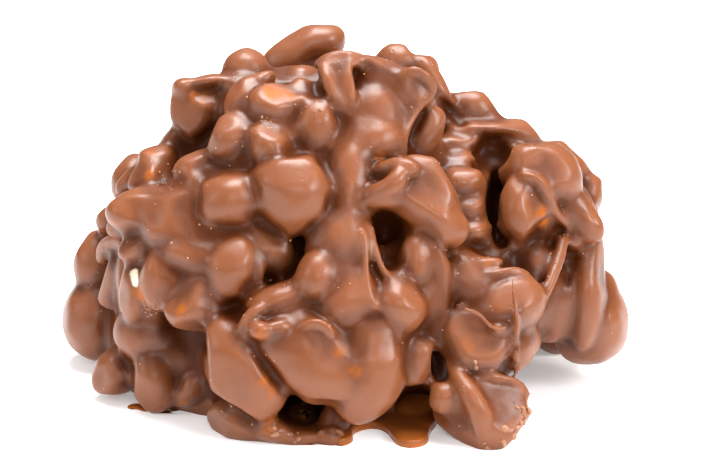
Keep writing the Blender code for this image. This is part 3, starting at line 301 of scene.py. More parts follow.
    ("right_fill", (53.4, 27.0, -12.0), (5.0, 6.0, 5.0), 0, 0),
    ("right_body", (55.2, 29.0, -8.9), (10.4, 6.2, 7.0), 90, 0),
    ("drip_body", (58.5, 28.8, -9.3), (12.6, 4.0, 5.6), 87,
     ((90, 0, 0.8), (180, 30, 0.82), (5, 25, 0.86))),
    ("right_bulge", (58.9, 32.1, -7.0), (8.8, 8.0, 9.0), 104, 0),
    ("bulge_join", (60.2, 30.0, -6.8), (6.6, 3.8, 5.0), 100, 0),
    ("front_nut", (48.4, 41.4, -21.8), (10.1, 7.8, 6.6), -8,
     ((92, 0, 0.84), (15, 0, 0.86), (318, 5, 0.72), (232, 5, 0.8), (48, 58, 0.68), (205, 42, 0.62))),
    ("front_knob", (44.3, 39.6, -22.0), (2.6, 3.0, 3.4), 0, ((90, 0, 0.8),)),
    ("mid_body", (44.5, 36.0, -11.6), (6.0, 8.0, 6.0), 0, 0),
)

# Lips, curls and thick runs of chocolate: name, points in the window with their depths, radii
RUNS = (
    ("arch",
     ((31.6, 6.7, -8.6), (32.3, 6.0, -9.4), (33.3, 5.5, -9.6), (34.6, 5.35, -9.4), (36.2, 5.7, -9.2),
      (37.6, 6.3, -9.2), (38.8, 7.2, -9.4), (39.8, 7.7, -9.6), (40.5, 7.5, -9.6)),
     (0.45, 0.5, 0.45, 0.42, 0.4, 0.4, 0.4, 0.42, 0.45)),
    ("tongue_left",
     ((32.2, 6.4, -9.9), (32.6, 7.6, -11.2), (33.1, 9.0, -12.0), (33.9, 10.4, -12.4),
      (34.7, 11.3, -12.4)),
     (0.55, 0.6, 0.6, 0.55, 0.45)),
    ("tongue_right",
     ((34.9, 6.2, -10.2), (35.0, 7.7, -11.2), (35.2, 9.2, -12.0), (35.1, 10.6, -12.3)),
     (0.3, 0.42, 0.45, 0.42)),
    ("tongue_mid",
     ((33.6, 6.2, -9.9), (33.9, 7.8, -10.8), (34.2, 9.2, -11.6), (34.6, 10.5, -12.0)),
     (0.7, 0.75, 0.7, 0.55)),
    ("curl",
     ((40.6, 7.7, -9.8), (41.0, 7.05, -9.8), (42.2, 7.3, -9.8), (43.2, 8.4, -9.6), (43.2, 9.4, -9.6),
      (42.1, 10.6, -10.4), (41.1, 12.2, -11.4), (40.5, 14.0, -12.4), (40.5, 15.4, -13.0)),
     (0.45, 0.45, 0.48, 0.48, 0.45, 0.4, 0.38, 0.38, 0.38)),
    ("loop_left",
     ((10.3, 26.0, -4.0), (10.5, 24.9, -5.2), (11.4, 24.2, -6.8), (12.6, 24.0, -8.8)),
     (0.8, 0.9, 0.9, 0.8)),
    ("sheet_edge",
     ((11.5, 22.2, -10.6), (11.5, 20.6, -11.0), (12.6, 19.5, -11.6), (14.8, 19.05, -12.4),
      (17.2, 19.1, -13.4)),
     (0.5, 0.5, 0.45, 0.4, 0.3)),
    ("lobe_rim",
     ((24.5, 24.0, -17.4), (25.5, 25.2, -18.6), (26.0, 26.8, -19.2), (25.7, 28.4, -19.6),
      (25.2, 29.6, -20.0)),
     (0.35, 0.5, 0.55, 0.55, 0.5)),
    ("rim_front",
     ((27.8, 30.8, -21.6), (26.3, 30.9, -22.3), (25.0, 31.7, -22.7), (24.4, 32.9, -22.8),
      (24.8, 34.7, -23.0), (26.0, 36.7, -23.0)),
     (0.6, 0.7, 0.7, 0.65, 0.55, 0.4)),
    ("rim_half",
     ((29.4, 33.3, -23.4), (30.4, 32.6, -23.8), (31.4, 32.2, -23.9), (32.5, 32.5, -24.1),
      (33.4, 33.5, -24.4)),
     (0.35, 0.42, 0.42, 0.4, 0.3)),
    ("crease_a",
     ((36.4, 22.8, -19.0), (36.6, 26.0, -20.4), (36.9, 29.0, -22.0), (37.6, 31.0, -22.8)),
     (0.25, 0.35, 0.35, 0.25)),
    ("crease_b",
     ((37.2, 22.4, -18.0), (37.6, 25.0, -19.4), (38.7, 27.6, -20.4), (40.3, 28.9, -21.0),
      (41.4, 30.4, -21.0)),
     (0.25, 0.4, 0.4, 0.4, 0.25)),
    ("hook",
     ((36.6, 19.3, -16.4), (38.0, 19.2, -17.4), (39.4, 18.4, -17.8), (40.2, 17.1, -17.2)),
     (0.8, 1.05, 1.05, 0.8)),
    ("hook_top",
     ((37.4, 17.7, -15.2), (38.6, 16.9, -15.8), (40.0, 16.5, -16.4), (41.2, 16.8, -17.0),
      (41.6, 17.3, -17.2)),
     (0.7, 0.85, 0.85, 0.7, 0.5)),
    ("sausage",
     ((41.0, 24.6, -17.2), (42.6, 24.5, -17.8), (43.9, 26.2, -18.0), (44.1, 28.8, -18.2),
      (43.8, 31.4, -18.8), (43.0, 33.4, -19.4)),
     (0.6, 0.9, 1.0, 1.0, 0.9, 0.8)),
    ("web_ridge",
     ((45.8, 26.0, -16.2), (47.0, 27.1, -16.8), (49.2, 27.4, -17.2), (51.4, 26.9, -16.8),
      (53.0, 27.4, -16.2)),
     (0.3, 0.4, 0.4, 0.35, 0.3)),
    ("drizzle_loop",
     ((56.3, 23.8, -11.4), (55.9, 25.8, -13.2), (55.1, 28.0, -15.2), (54.2, 30.0, -16.8),
      (53.0, 31.8, -18.4), (51.2, 32.8, -19.8), (49.4, 32.8, -20.8), (47.8, 31.4, -21.2),
      (46.2, 30.8, -21.0)),
     (0.65, 0.65, 0.6, 0.55, 0.45, 0.35, 0.3, 0.3, 0.3)),
    ("hood_ridge",
     ((56.8, 18.4, -10.4), (58.0, 21.0, -9.6), (59.2, 23.2, -8.6)),
     (0.3, 0.42, 0.3)),
    ("hood_lip",
     ((52.0, 17.3, -12.5), (53.8, 17.9, -12.8), (54.8, 19.5, -12.6), (55.7, 21.3, -12.0),
      (57.0, 23.0, -11.0)),
     (0.3, 0.4, 0.42, 0.4, 0.3)),
    ("drizzle_line",
     ((51.3, 27.5, -20.0), (51.4, 29.5, -21.0), (51.7, 31.8, -20.8), (51.7, 34.0, -19.6),
      (51.6, 36.6, -18.4)),
     (0.25, 0.3, 0.35, 0.3, 0.25)),
    ("front_strap",
     ((45.0, 36.4, -20.2), (46.2, 38.2, -22.6), (47.1, 39.6, -23.8), (48.0, 41.4, -24.3),
      (48.6, 43.4, -24.0)),
     (0.6, 0.85, 1.0, 1.1, 1.1)),
    ("front_edge",
     ((46.8, 38.1, -21.8), (48.6, 37.7, -22.0), (50.4, 37.8, -21.6), (52.0, 38.4, -21.1),
      (53.0, 39.6, -21.0)),
     (0.35, 0.38, 0.38, 0.38, 0.3)),
)

# Hollows, cut from the core and the drape before the bits go on: name, place, sizes and lean, as for a bit
HOLLOWS = (
    ("front_pit", (28.4, 25.2, -19.0), (8.0, 4.8, 9.0), 70),
    ("low_pit", (30.2, 41.0, -22.0), (5.2, 3.4, 17.0), -10),
    ("mid_pit", (38.6, 23.6, -19.0), (5.6, 3.6, 10.0), 90),
    ("arch_pit", (49.4, 15.0, -8.6), (4.8, 3.4, 8.0), 0),
    ("stack_pit", (50.0, 20.6, -10.0), (9.6, 2.7, 11.0), 90),
    ("small_pit", (23.4, 30.4, -20.0), (2.2, 1.3, 6.0), 20),
    ("left_pit", (19.8, 14.4, -10.5), (5.0, 3.0, 7.0), 60),
    ("foot_pit", (42.2, 40.8, -19.0), (4.6, 5.6, 13.0), 80),
    ("gap_pit", (43.8, 36.8, -17.0), (5.4, 2.4, 10.0), -66),
    ("fin_pit", (43.9, 10.9, -6.0), (6.4, 4.2, 12.0), -58),
)

# Gaps cut between the bits once they are on, in the same columns
GAPS = (
    ("ear_gap", (41.6, 12.6, -10.4), (6.0, 1.1, 8.0), 63),
    ("fin_gap", (45.2, 11.1, -3.6), (4.4, 1.2, 5.0), -48),
    ("plate_gap", (48.3, 11.5, -4.4), (1.8, 1.5, 4.0), 0),
    ("arch_gap", (49.6, 15.0, -7.0), (3.4, 3.4, 9.0), 0),
    ("bowl_gap", (35.6, 7.4, -10.6), (1.7, 1.1, 2.6), 25),
    ("bean_gap", (43.7, 36.7, -18.0), (5.6, 2.2, 9.0), -68),
    ("foot_gap", (42.3, 38.9, -18.6), (4.6, 1.8, 8.0), -20),
    ("hood_gap", (56.3, 22.9, -11.6), (3.6, 0.9, 3.6), -42),
    ("slab_gap", (26.8, 36.9, -24.2), (7.2, 1.3, 7.4), -55),
)

# Fine ridges that the chocolate set with, as the window shows them: name, radius, (across, down) ...
RIDGES = (
    ("gold_left", 0.27, ((25.8, 8.6), (25.7, 10.0), (26.3, 11.2), (27.2, 11.9))),
    ("gold_top", 0.27, ((25.9, 8.6), (27.0, 8.2), (28.6, 8.4), (30.2, 9.0), (31.2, 9.6))),
    ("brow_ridge", 0.35, ((23.7, 8.8), (24.6, 7.9), (25.8, 7.5), (27.0, 7.4), (27.6, 8.0))),
    ("web_edge", 0.35, ((30.6, 8.6), (32.0, 9.4), (33.0, 10.8), (33.6, 12.4), (33.8, 13.7),
        (33.0, 14.5), (31.6, 14.7), (30.4, 14.4))),
    ("web_join", 0.27, ((24.6, 12.0), (25.6, 12.7), (26.8, 12.9), (27.6, 12.6), (28.6, 11.9),
        (29.0, 12.4), (29.1, 13.6), (29.0, 14.8))),
    ("pink_left", 0.24, ((25.2, 12.8), (24.9, 14.2), (25.4, 15.4), (26.4, 16.3))),
    ("chunk_line", 0.27, ((18.0, 11.0), (19.2, 10.8), (19.8, 9.9), (20.6, 9.8))),
    ("shoulder_line", 0.32, ((12.8, 19.2), (12.4, 18.2), (13.2, 16.8), (14.2, 16.0))),
    ("shoulder_low", 0.27, ((13.4, 19.0), (14.4, 18.8), (15.2, 19.1))),
    ("sheet_line", 0.41, ((11.0, 23.4), (10.7, 22.0), (11.0, 20.6), (11.9, 19.6), (13.2, 19.0))),
    ("near_line", 0.35, ((20.3, 18.8), (20.4, 20.2), (20.5, 21.4), (21.0, 22.4), (22.0, 22.9),
        (23.2, 23.1), (24.1, 23.7), (25.0, 24.7), (25.7, 25.9), (26.0, 27.2), (26.1, 28.4))),
    ("big_right", 0.22, ((31.9, 16.9), (32.9, 18.4), (33.1, 20.0), (32.6, 21.5), (31.8, 22.8))),
    ("curtain_left", 0.27, ((31.0, 24.5), (31.6, 24.9), (32.2, 24.6))),
    ("low_fold", 0.32, ((12.0, 28.8), (11.9, 30.0), (12.4, 31.2), (12.8, 32.2), (12.8, 33.5),
        (12.4, 34.5), (11.6, 35.1))),
    ("fold_line", 0.27, ((11.4, 26.0), (12.6, 25.2), (13.6, 24.2), (14.2, 23.4))),
    ("amber_line", 0.24, ((20.6, 28.0), (20.3, 29.4), (20.3, 30.8), (20.4, 32.2))),
    ("hood_top_line", 0.42, ((51.0, 14.9), (52.6, 14.4), (54.2, 14.7), (55.7, 15.8), (56.9, 17.4),
        (57.9, 19.4), (58.6, 21.4), (59.3, 23.4), (59.7, 24.2))),
    ("hood_fold", 0.3, ((56.3, 16.2), (55.9, 17.6), (55.3, 19.0), (55.0, 20.0))),
    ("hood_brow", 0.38, ((51.0, 17.4), (52.2, 17.3), (53.2, 17.8), (53.9, 18.8), (54.4, 19.8),
        (55.0, 20.6))),
    ("hood_brow_low", 0.27, ((51.1, 17.8), (52.4, 18.0), (53.2, 19.0), (53.9, 20.4))),
    ("face_line", 0.3, ((51.6, 24.6), (52.6, 23.9), (53.4, 22.8), (54.0, 21.8), (54.4, 20.8))),
    ("lens_top", 0.3, ((47.0, 26.2), (47.8, 25.6), (49.0, 25.4), (50.4, 25.7))),
    ("loop", 0.42, ((55.2, 28.2), (54.8, 29.6), (54.2, 30.9), (53.4, 31.9), (52.2, 32.7), (50.8, 33.1),
        (49.4, 33.0), (48.3, 32.2), (47.5, 31.2), (46.6, 30.6), (45.6, 30.5))),
    ("string", 0.34, ((51.4, 27.3), (51.6, 29.0), (51.8, 30.6), (52.0, 32.4), (51.8, 34.2),
        (51.6, 35.6), (51.8, 36.8), (51.3, 37.8))),
    ("half_line", 0.27, ((31.0, 34.4), (32.4, 33.4), (33.4, 33.8), (34.4, 35.0), (35.6, 36.0),
        (36.6, 37.4))),
    ("rim_line", 0.3, ((24.2, 34.0), (24.0, 32.6), (24.6, 31.4), (25.6, 30.6), (26.8, 30.4))),
    ("base_line", 0.27, ((31.8, 43.2), (33.0, 42.9), (34.0, 43.2), (34.4, 44.2))),
    ("nut_line", 0.32, ((47.0, 38.0), (48.2, 39.4), (49.2, 40.8), (50.0, 42.2))),
    ("nut_rim", 0.32, ((46.0, 37.9), (47.4, 37.7), (49.0, 37.6), (50.6, 37.8), (52.0, 38.4))),
    ("curtain_fold", 0.27, ((36.8, 23.2), (36.5, 25.0), (36.6, 27.0), (36.9, 29.0), (37.6, 31.0))),
)

# Fine grooves between the bits, in the same columns
GROOVES = (
    ("slab_groove", 0.42, ((24.0, 33.6), (24.7, 34.9), (25.6, 36.3), (26.5, 37.6), (27.4, 38.7),
        (28.2, 39.6))),
    ("drip_groove", 0.36, ((57.0, 24.4), (56.9, 26.8), (56.7, 29.0), (56.5, 31.2), (56.2, 33.0),
        (55.8, 34.4))),
    ("near_groove", 0.3, ((20.0, 18.8), (20.0, 20.2), (20.2, 21.6), (20.8, 22.7), (22.0, 23.3))),
    ("big_groove", 0.22, ((25.6, 18.0), (25.8, 19.2), (26.2, 20.5), (26.4, 21.2))),
    ("hair_groove", 0.14, ((24.0, 18.0), (25.0, 17.9), (25.9, 17.6))),
    ("bright_groove", 0.24, ((12.6, 26.3), (13.6, 26.0), (14.8, 26.1), (15.6, 25.5), (16.6, 25.0),
        (18.0, 24.8), (19.4, 25.1))),
    ("under_amber", 0.45, ((18.4, 33.0), (19.6, 33.2), (20.6, 33.4), (21.0, 34.2))),
    ("foot_groove", 0.4, ((13.5, 35.2), (13.4, 36.6), (13.5, 38.2), (13.3, 39.6))),
    ("foot_top_groove", 0.3, ((13.8, 35.3), (14.6, 34.7), (15.2, 34.0))),
    ("bulge_groove", 0.2, ((60.4, 27.0), (60.0, 28.6), (59.8, 30.2), (60.0, 31.4))),
    ("round_groove", 0.2, ((47.2, 30.4), (48.0, 29.2), (49.4, 28.0), (51.0, 27.4))),
    ("nut_groove", 0.26, ((45.8, 37.6), (47.4, 37.3), (49.2, 37.2), (50.8, 37.4))),
    ("plate_groove", 0.2, ((43.9, 23.2), (44.9, 23.8), (45.8, 24.2))),
    ("curtain_groove", 0.22, ((33.9, 17.0), (34.2, 19.0), (34.0, 21.0))),
    ("face_groove", 0.26, ((53.2, 20.6), (53.2, 21.8), (52.8, 23.2))),
)
LINE_STEP = 0.7
LINE_JUMP = 2.2  # where the coat steps back by more than this, the line stops and starts again
LINE_TAPER = 0.6  # a line's radius falls by this share to its ends

# The melted chocolate that spread on the floor: its outline, as (across, down) in the window
MELT_OUTLINE = (
    (33.8, 44.6), (35.2, 44.2), (35.3, 43.5), (36.4, 43.0), (37.6, 42.9), (38.6, 43.3),
    (39.4, 44.2), (40.2, 44.7), (41.4, 44.8), (42.5, 44.5), (43.0, 43.4), (43.7, 42.4),
    (43.9, 40.6), (42.4, 39.4), (40.4, 39.4), (38.4, 40.4), (35.6, 42.0), (33.8, 43.2),
)
MELT_HEIGHT = 0.7
# Its thick middle and the drops at the left foot: (across, down), (length, width, thickness), lean
MELT_DROPS = (
    ((41.2, 40.7), (6.2, 9.0, 2.8), 0),
    ((13.6, 40.7), (1.9, 1.5, 0.6), 10),
    ((14.8, 41.0), (1.8, 1.1, 0.6), 0),
)
MELT_GRAIN = 0.14
MELT_SMOOTHING = 14
MELT_RIM = (0.12, 0.322)  # its colour goes from amber to brown between these heights

# Places where the coat is thin and the nut's amber shows through: (across, down), radius, strength
THIN_SPOTS = (
    ((27.4, 9.3), 1.1, 1.0), ((28.8, 9.5), 0.8, 0.8), ((20.6, 9.9), 1.0, 0.45), ((19.4, 9.6), 0.7, 0.5),
    ((15.2, 15.2), 0.8, 0.5), ((14.9, 17.4), 0.7, 0.6), ((18.2, 30.9), 1.0, 0.5),
    ((14.0, 29.3), 0.9, 0.9), ((38.0, 15.5), 0.7, 0.5), ((34.0, 35.0), 0.9, 0.5),
    ((35.6, 37.0), 0.8, 0.45), ((26.1, 33.4), 0.8, 0.5), ((46.9, 34.4), 0.9, 0.4),
    ((54.1, 21.2), 0.8, 0.7), ((54.3, 22.3), 0.7, 0.65), ((48.6, 26.5), 0.8, 0.4),
    ((18.4, 40.4), 0.6, 0.5), ((27.2, 42.7), 1.0, 0.5), ((26.5, 38.2), 0.8, 0.5),
    ((27.3, 39.3), 0.7, 0.5), ((52.6, 20.6), 0.7, 0.3), ((31.4, 17.4), 0.6, 0.3),
)
# The bare nut at the left: places, radius, and how many radii out its edge has faded away
BARE_SPOTS = ((13.4, 27.3), (13.5, 27.8), (13.6, 28.2))
BARE_RADIUS = 0.42
BARE_EDGE = 1.6

# What the coat's painted highlight on the crests and painted shade in the creases and hollows read: name,
# further rounds of evening out the coat's bulges, gain
BULGES = (("crest", 6, 60), ("basin", 60, 160))

# Crumbs at the broken edges: (across, down), radius of the patch, number
CRUMBS = (
    ((52.4, 41.6), 0.9, 9), ((51.0, 43.4), 0.9, 8), ((48.6, 44.6), 0.5, 3), ((47.6, 36.5), 0.3, 2),
    ((26.8, 43.0), 0.9, 4), ((30.0, 44.0), 1.2, 3),
)
CRUMB_SIZES = (0.25, 0.6)
CRUMB_SHAPE = (1.4, 1.0, 0.8)
CRUMB_LIFT = 0.7  # a crumb's middle lies at least this share of its size above the floor
CRUMB_FLATS = 4

# Bubbles all over the coat, apart from low down and on faces that look down, and patches of more
BUBBLES = 420
BUBBLE_LOWEST, BUBBLE_STEEPEST = 0.8, -0.3
BUBBLE_RADII = (0.06, 0.13)
BUBBLE_WIDTH, BUBBLE_HEIGHT = (0.8, 1.0), 0.7  # shares of its length
BUBBLE_PATCHES = (
    ((15.0, 30.8), 1.0, 40), ((26.0, 12.6), 1.2, 14), ((31.4, 11.6), 1.4, 12), ((16.8, 17.5), 1.6, 12),
)

# Patterns of the coat: size, detail, roughness
COAT_PATTERNS = {
    "mottle": (5.0, 3.0, 0.5),  # milk and cocoa, mixed unevenly
    "patches": (0.9, 3.0, 0.5),  # how unevenly the coat thins out over a nut
    "grain": (0.25, 4.0, 0.6),  # sugar grains are under 0.03 mm, so they're drawn coarser, to show
    "ripple": (1.6, 2.0, 0.5),  # the slow ripple that the skin set with
    "satin": (3.0, 3.0, 0.5),  # satin areas and duller ones
}
PORE_SPACING = 1.3
# Patterns of the melt, of a crumb's colour and broken face, and of the bubbles' colour: size
MELT_RIPPLE = 0.9
CRUMB_TONE, CRUMB_FACE = 0.4, 0.12
BUBBLE_TONE = 2.0
CHOCOLATE_IOR = 1.46
# The sockets of a Mix node that blends colours: its share, its two colours and its result
MIX_SHARE, MIX_FROM, MIX_TO, MIXED = 0, 6, 7, 2

# Lights: name, place and size in metres, the setting that gives its power, and its share of that
LIGHTS = (
    ("overhead_light", (0.02, 0.06, 0.42), 0.26, "key", 1.0),
    ("left_light", (-0.38, -0.16, 0.20), 0.22, "side", 0.5),
    ("right_light", (0.34, -0.20, 0.24), 0.18, "side", 1.6),
    ("front_light", (0.06, -0.44, 0.26), 0.16, "side", 0.5),
)
LIGHTS_AIM = Vector((0.0, 0.0, 14.0))
SKY_TOP = 0.9  # the sky is at its brightest from this height of a sphere of radius 1
PAPER_ROUGHNESS = 0.8

RIGHT = Vector((1, 0, 0))
SIGHT = Vector((0, math.cos(SIGHT_TILT), -math.sin(SIGHT_TILT)))
UP = Vector((0, math.sin(SIGHT_TILT), math.cos(SIGHT_TILT)))
EYE = WINDOW_MIDDLE - SIGHT * SIGHT_DISTANCE
WINDOW_TURN = Matrix((RIGHT, UP, -SIGHT)).transposed()


# Places


def across_window(clock, tilt):
    """The unit vector that faces this way in the window, turned by tilt to the viewer."""
    clock, tilt = math.radians(clock), math.radians(tilt)
    flat = RIGHT * math.cos(clock) + UP * math.sin(clock)
    return flat * math.cos(tilt) - SIGHT * math.sin(tilt)


def window_ray(across, down):
    """The line of sight through this place of the window, in millimetres from the eye."""
    offset = RIGHT * (across - WINDOW_WIDTH / 2) + UP * (WINDOW_HEIGHT / 2 - down)
    return WINDOW_MIDDLE + offset - EYE


def in_window(across, down, depth):
    """The point that shows at this place of the window and lies at y = depth, in metres."""
    ray = window_ray(across, down)
    return (EYE + ray * ((depth - EYE.y) / ray.y)) * MM


def on_floor(across, down):
    """The point of the floor that shows at this place of the window, in metres."""
    ray = window_ray(across, down)
    return (EYE - ray * (EYE.z / ray.z)) * MM


def on_heap(bearing, height, inset=0.0):
    """The heap's point at this bearing, in radians from the front, and share of its height."""
    round_share = math.sqrt(max(0.0, 1 - height * height))
    x = (HALF_WIDTH - inset) * round_share * math.sin(bearing)
    y = HEAP_MIDDLE - (HALF_DEPTH - inset) * round_share * math.cos(bearing)
    slump = SLUMP * min(1, max(0, x / SLUMP_REACH))
    return Vector((x, y, (HEIGHT - inset) * height * (1 - slump)))


def heap_normal(point):
    """The way that the heap's ellipsoid faces at this point of it."""
    y = point.y - HEAP_MIDDLE
    return Vector((point.x / HALF_WIDTH**2, y / HALF_DEPTH**2, point.z / HEIGHT**2)).normalized()


def even_places(places, step):
    """The places of a line, with more between them where they are farther apart than step."""
    found = [places[0]]
    for start, end in zip(places, places[1:]):
        parts = max(1, round(math.dist(start, end) / step))
        for part in range(1, parts + 1):
            found.append([a + (b - a) * part / parts for a, b in zip(start, end)])
    return found


# Modelling


def activate(obj):
    """Selects this object alone and makes it the active one."""
    bpy.ops.object.select_all(action="DESELECT")
    obj.select_set(True)
    bpy.context.view_layer.objects.active = obj


def use_collection(name):
    """Makes new pieces go to this collection, and returns it."""
    top = bpy.context.scene.collection
    if name not in top.children:
        top.children.link(bpy.data.collections.new(name))
    layer = bpy.context.view_layer.layer_collection.children[name]
    bpy.context.view_layer.active_layer_collection = layer
    return top.children[name]


def remove_all(objects):
    """Deletes these objects."""
    for obj in list(objects):
        bpy.data.objects.remove(obj)


def apply_modifier(obj, kind, **settings):
    """Adds a modifier with these settings and applies it."""
    activate(obj)
    bpy.ops.object.modifier_add(type=kind)
    modifier = obj.modifiers[-1]
    for name, value in settings.items():
        setattr(modifier, name, value)
    bpy.ops.object.modifier_apply(modifier=modifier.name)


def remesh(obj, grain):
    """Makes the mesh anew from voxels of this size, as one skin round all of its parts."""
    apply_modifier(obj, "REMESH", mode="VOXEL", voxel_size=grain)


def swell(obj, distance):
    """Moves the whole surface outwards by this distance."""
    apply_modifier(obj, "DISPLACE", mid_level=0, strength=distance)


def even_out(obj, rounds):
    """Smooths the surface this many times."""
    apply_modifier(obj, "SMOOTH", factor=EVENING, iterations=rounds)


def fill_creases(obj, grain, radius):
    """Rounds every crease that a ball of this radius can't enter."""
    for distance in (radius, -radius):
        remesh(obj, grain)
        swell(obj, distance)


def join_with(obj, operation, collection):
    """Unites the object with a collection's pieces, or cuts them from it, and removes them."""
    settings = {"operation": operation, "operand_type": "COLLECTION", "collection": collection}
    apply_modifier(obj, "BOOLEAN", solver="MANIFOLD", **settings)
    remove_all(collection.objects)


def cut_out(obj, hollows):
    """Cuts the hollows of a table from the object."""
    cutters = use_collection("bits")
    for name, place, sizes, lean in hollows:
        add_nut_bit(name, place, sizes, lean, 0, None)
    join_with(obj, "DIFFERENCE", cutters)


def add_drape(obj, grain, reach, depth):
    """Fills the gaps that a ball of radius reach can't enter, up to depth below the bits around them."""
    activate(obj)
    bpy.ops.object.duplicate()
    drape = bpy.context.object
    fill_creases(drape, grain, reach)
    remesh(drape, grain)
    swell(drape, -depth)
    remesh(drape, grain)
    cut_out(drape, HOLLOWS)
    activate(obj)
    drape.select_set(True)
    bpy.ops.object.join()


def add_ellipsoid(name, middle, sizes, turn=None, flats=(), detail=BIT_DETAIL):
    """An ellipsoid with the given full sizes in millimetres, shaved by planes (normal, keep)."""
    turn = turn or Matrix.Identity(3)
    bpy.ops.object.select_all(action="DESELECT")
    bpy.ops.mesh.primitive_ico_sphere_add(
        subdivisions=detail,
        radius=0.5,
        enter_editmode=bool(flats),
        location=middle,
        rotation=turn.to_euler(),
        scale=[size * MM for size in sizes],
    )
    obj = bpy.context.object
    obj.name = obj.data.name = name
    half_axes = [turn.col[i] * sizes[i] * MM / 2 for i in range(3)]
    for normal, keep in flats:
        reach = math.sqrt(sum(axis.dot(normal) ** 2 for axis in half_axes))
        cut = {"plane_co": middle + normal * reach * keep, "plane_no": normal}
        bpy.ops.mesh.select_all(action="SELECT")
        bpy.ops.mesh.bisect(**cut, use_fill=True, clear_outer=True, threshold=WELD * MM)
    if flats:
        bpy.ops.object.mode_set(mode="OBJECT")
    return obj


def random_flats(draws, count):
    """As many planes as count, each facing any way."""
    flats = []
    for _ in range(count):
        normal = Vector([draws.gauss(0, 1) for _ in range(3)]).normalized()
        flats.append((normal, draws.uniform(*FLAT_KEEP)))
    return flats


def add_nut_bit(name, place, sizes, lean, flats, draws):
    """A bit, or the cutter of a hollow, from its row of the table."""
    turn = WINDOW_TURN @ Matrix.Rotation(math.radians(lean), 3, "Z")
    if isinstance(flats, int):
        planes = random_flats(draws, flats)
    else:
        planes = [(across_window(clock, tilt), keep) for clock, tilt, keep in flats]
    return add_ellipsoid(name, in_window(*place), sizes, turn, planes)


def add_run(name, points, radii):
    """A rounded run of chocolate through the points, with radii in millimetres."""
    bpy.ops.object.select_all(action="DESELECT")
    bpy.ops.curve.primitive_bezier_curve_add()
    run = bpy.context.object
    run.data.dimensions = "3D"
    run.data.bevel_depth = MM
    run.data.bevel_resolution = RUN_ROUNDNESS
    run.data.use_fill_caps = True
    return close_curve(run, name, points, radii)


def add_film(name, points, height):
    """A flat film with this outline, that reaches this far above the floor and as far below it."""
    bpy.ops.object.select_all(action="DESELECT")
    bpy.ops.curve.primitive_bezier_circle_add()
    film = bpy.context.object
    film.data.dimensions = "2D"
    film.data.fill_mode = "BOTH"
    film.data.extrude = height
    return close_curve(film, name, points, [1] * len(points))


def close_curve(curve, name, points, radii):
    """Leads the new curve through the points and makes it a closed mesh that faces outwards."""
    curve.name = curve.data.name = name
    curve.data.resolution_u = CURVE_STEPS
    spline = curve.data.splines[0]
    spline.bezier_points.add(len(points) - len(spline.bezier_points))
    for knot, point, radius in zip(spline.bezier_points, points, radii):
        knot.co = point
        knot.radius = radius
        knot.handle_left_type = knot.handle_right_type = "AUTO"
    bpy.ops.object.convert(target="MESH")
    bpy.ops.object.mode_set(mode="EDIT")
    bpy.ops.mesh.select_all(action="SELECT")
    bpy.ops.mesh.remove_doubles(threshold=WELD * MM)
    bpy.ops.mesh.normals_make_consistent(inside=False)
    bpy.ops.object.mode_set(mode="OBJECT")
    return curve


def keep_largest(obj):
    """Drops loose scraps and the bubbles sealed inside."""
    activate(obj)
    name = obj.name
    bpy.ops.mesh.separate(type="LOOSE")
    bodies = sorted(bpy.context.selected_objects, key=lambda body: len(body.data.vertices))
    remove_all(bodies[:-1])
    bodies[-1].name = name
    return bodies[-1]


def stand_on_floor(obj):
    """Cuts the object flat at the floor."""
    activate(obj)
    bpy.ops.object.mode_set(mode="EDIT")
    bpy.ops.mesh.select_all(action="SELECT")
    bpy.ops.mesh.bisect(plane_co=(0, 0, 0), plane_no=(0, 0, 1), use_fill=True, clear_inner=True)
    bpy.ops.mesh.select_all(action="SELECT")
    bpy.ops.mesh.quads_convert_to_tris()
    bpy.ops.mesh.normals_make_consistent(inside=False)
    bpy.ops.object.mode_set(mode="OBJECT")


def settle(obj, shift=None):
    """Puts the object at the origin, unturned and unscaled, moved by shift first."""
    activate(obj)
    if shift:
        obj.location += shift
    bpy.ops.object.transform_apply(location=True, rotation=True, scale=True)


def gather(objects, name):
    """Joins the objects into one with this name, at the origin."""
    activate(objects[0])
    for obj in objects:
        obj.select_set(True)
    bpy.ops.object.join()
    joined = bpy.context.object
    joined.name = joined.data.name = name
    settle(joined)
    return joined


def dress(obj, material):
    """Gives a finished piece its material and hands it to the frame."""
    obj.data.materials.clear()
    obj.data.materials.append(material)
    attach(obj, BODY)


# What the coat's colour follows


def coat_tree(coat):
    """The coat's faces, for finding the places on it."""
    return BVHTree.FromObject(coat, bpy.context.evaluated_depsgraph_get())


def seen_on(tree, place, shift):
    """The point of the coat that shows at this place of the window, and the way that it faces."""
    eye = EYE * MM + shift
    return tree.ray_cast(eye, window_ray(*place).normalized())[:2]


def corner_vectors(mesh, key):
    """The place ("co") or the normal of each corner of the mesh, as rows."""
    numbers = np.empty(len(mesh.vertices) * 3, np.float32)
    mesh.vertices.foreach_get(key, numbers)
    return numbers.reshape(-1, 3)


def store(mesh, name, numbers):
    """Keeps a number for each corner of the mesh, as an attribute that materials read."""
    layer = mesh.attributes.new(name, "FLOAT", "POINT")
    layer.data.foreach_set("value", numbers.astype(np.float32))


class Neighbours:
    """The mean over each corner's neighbours, for any numbers kept per corner."""

    def __init__(self, mesh):
        ends = np.empty(len(mesh.edges) * 2, np.int32)
        mesh.edges.foreach_get("vertices", ends)
        self.ends = ends.reshape(-1, 2).T
        self.count = len(mesh.vertices)
        self.reach = np.maximum(1, np.bincount(ends, minlength=self.count))

    def mean(self, numbers):
        """Each corner's mean over its neighbours."""
        one, other = self.ends
        from_one = np.bincount(one, numbers[other], self.count)
        return (from_one + np.bincount(other, numbers[one], self.count)) / self.reach


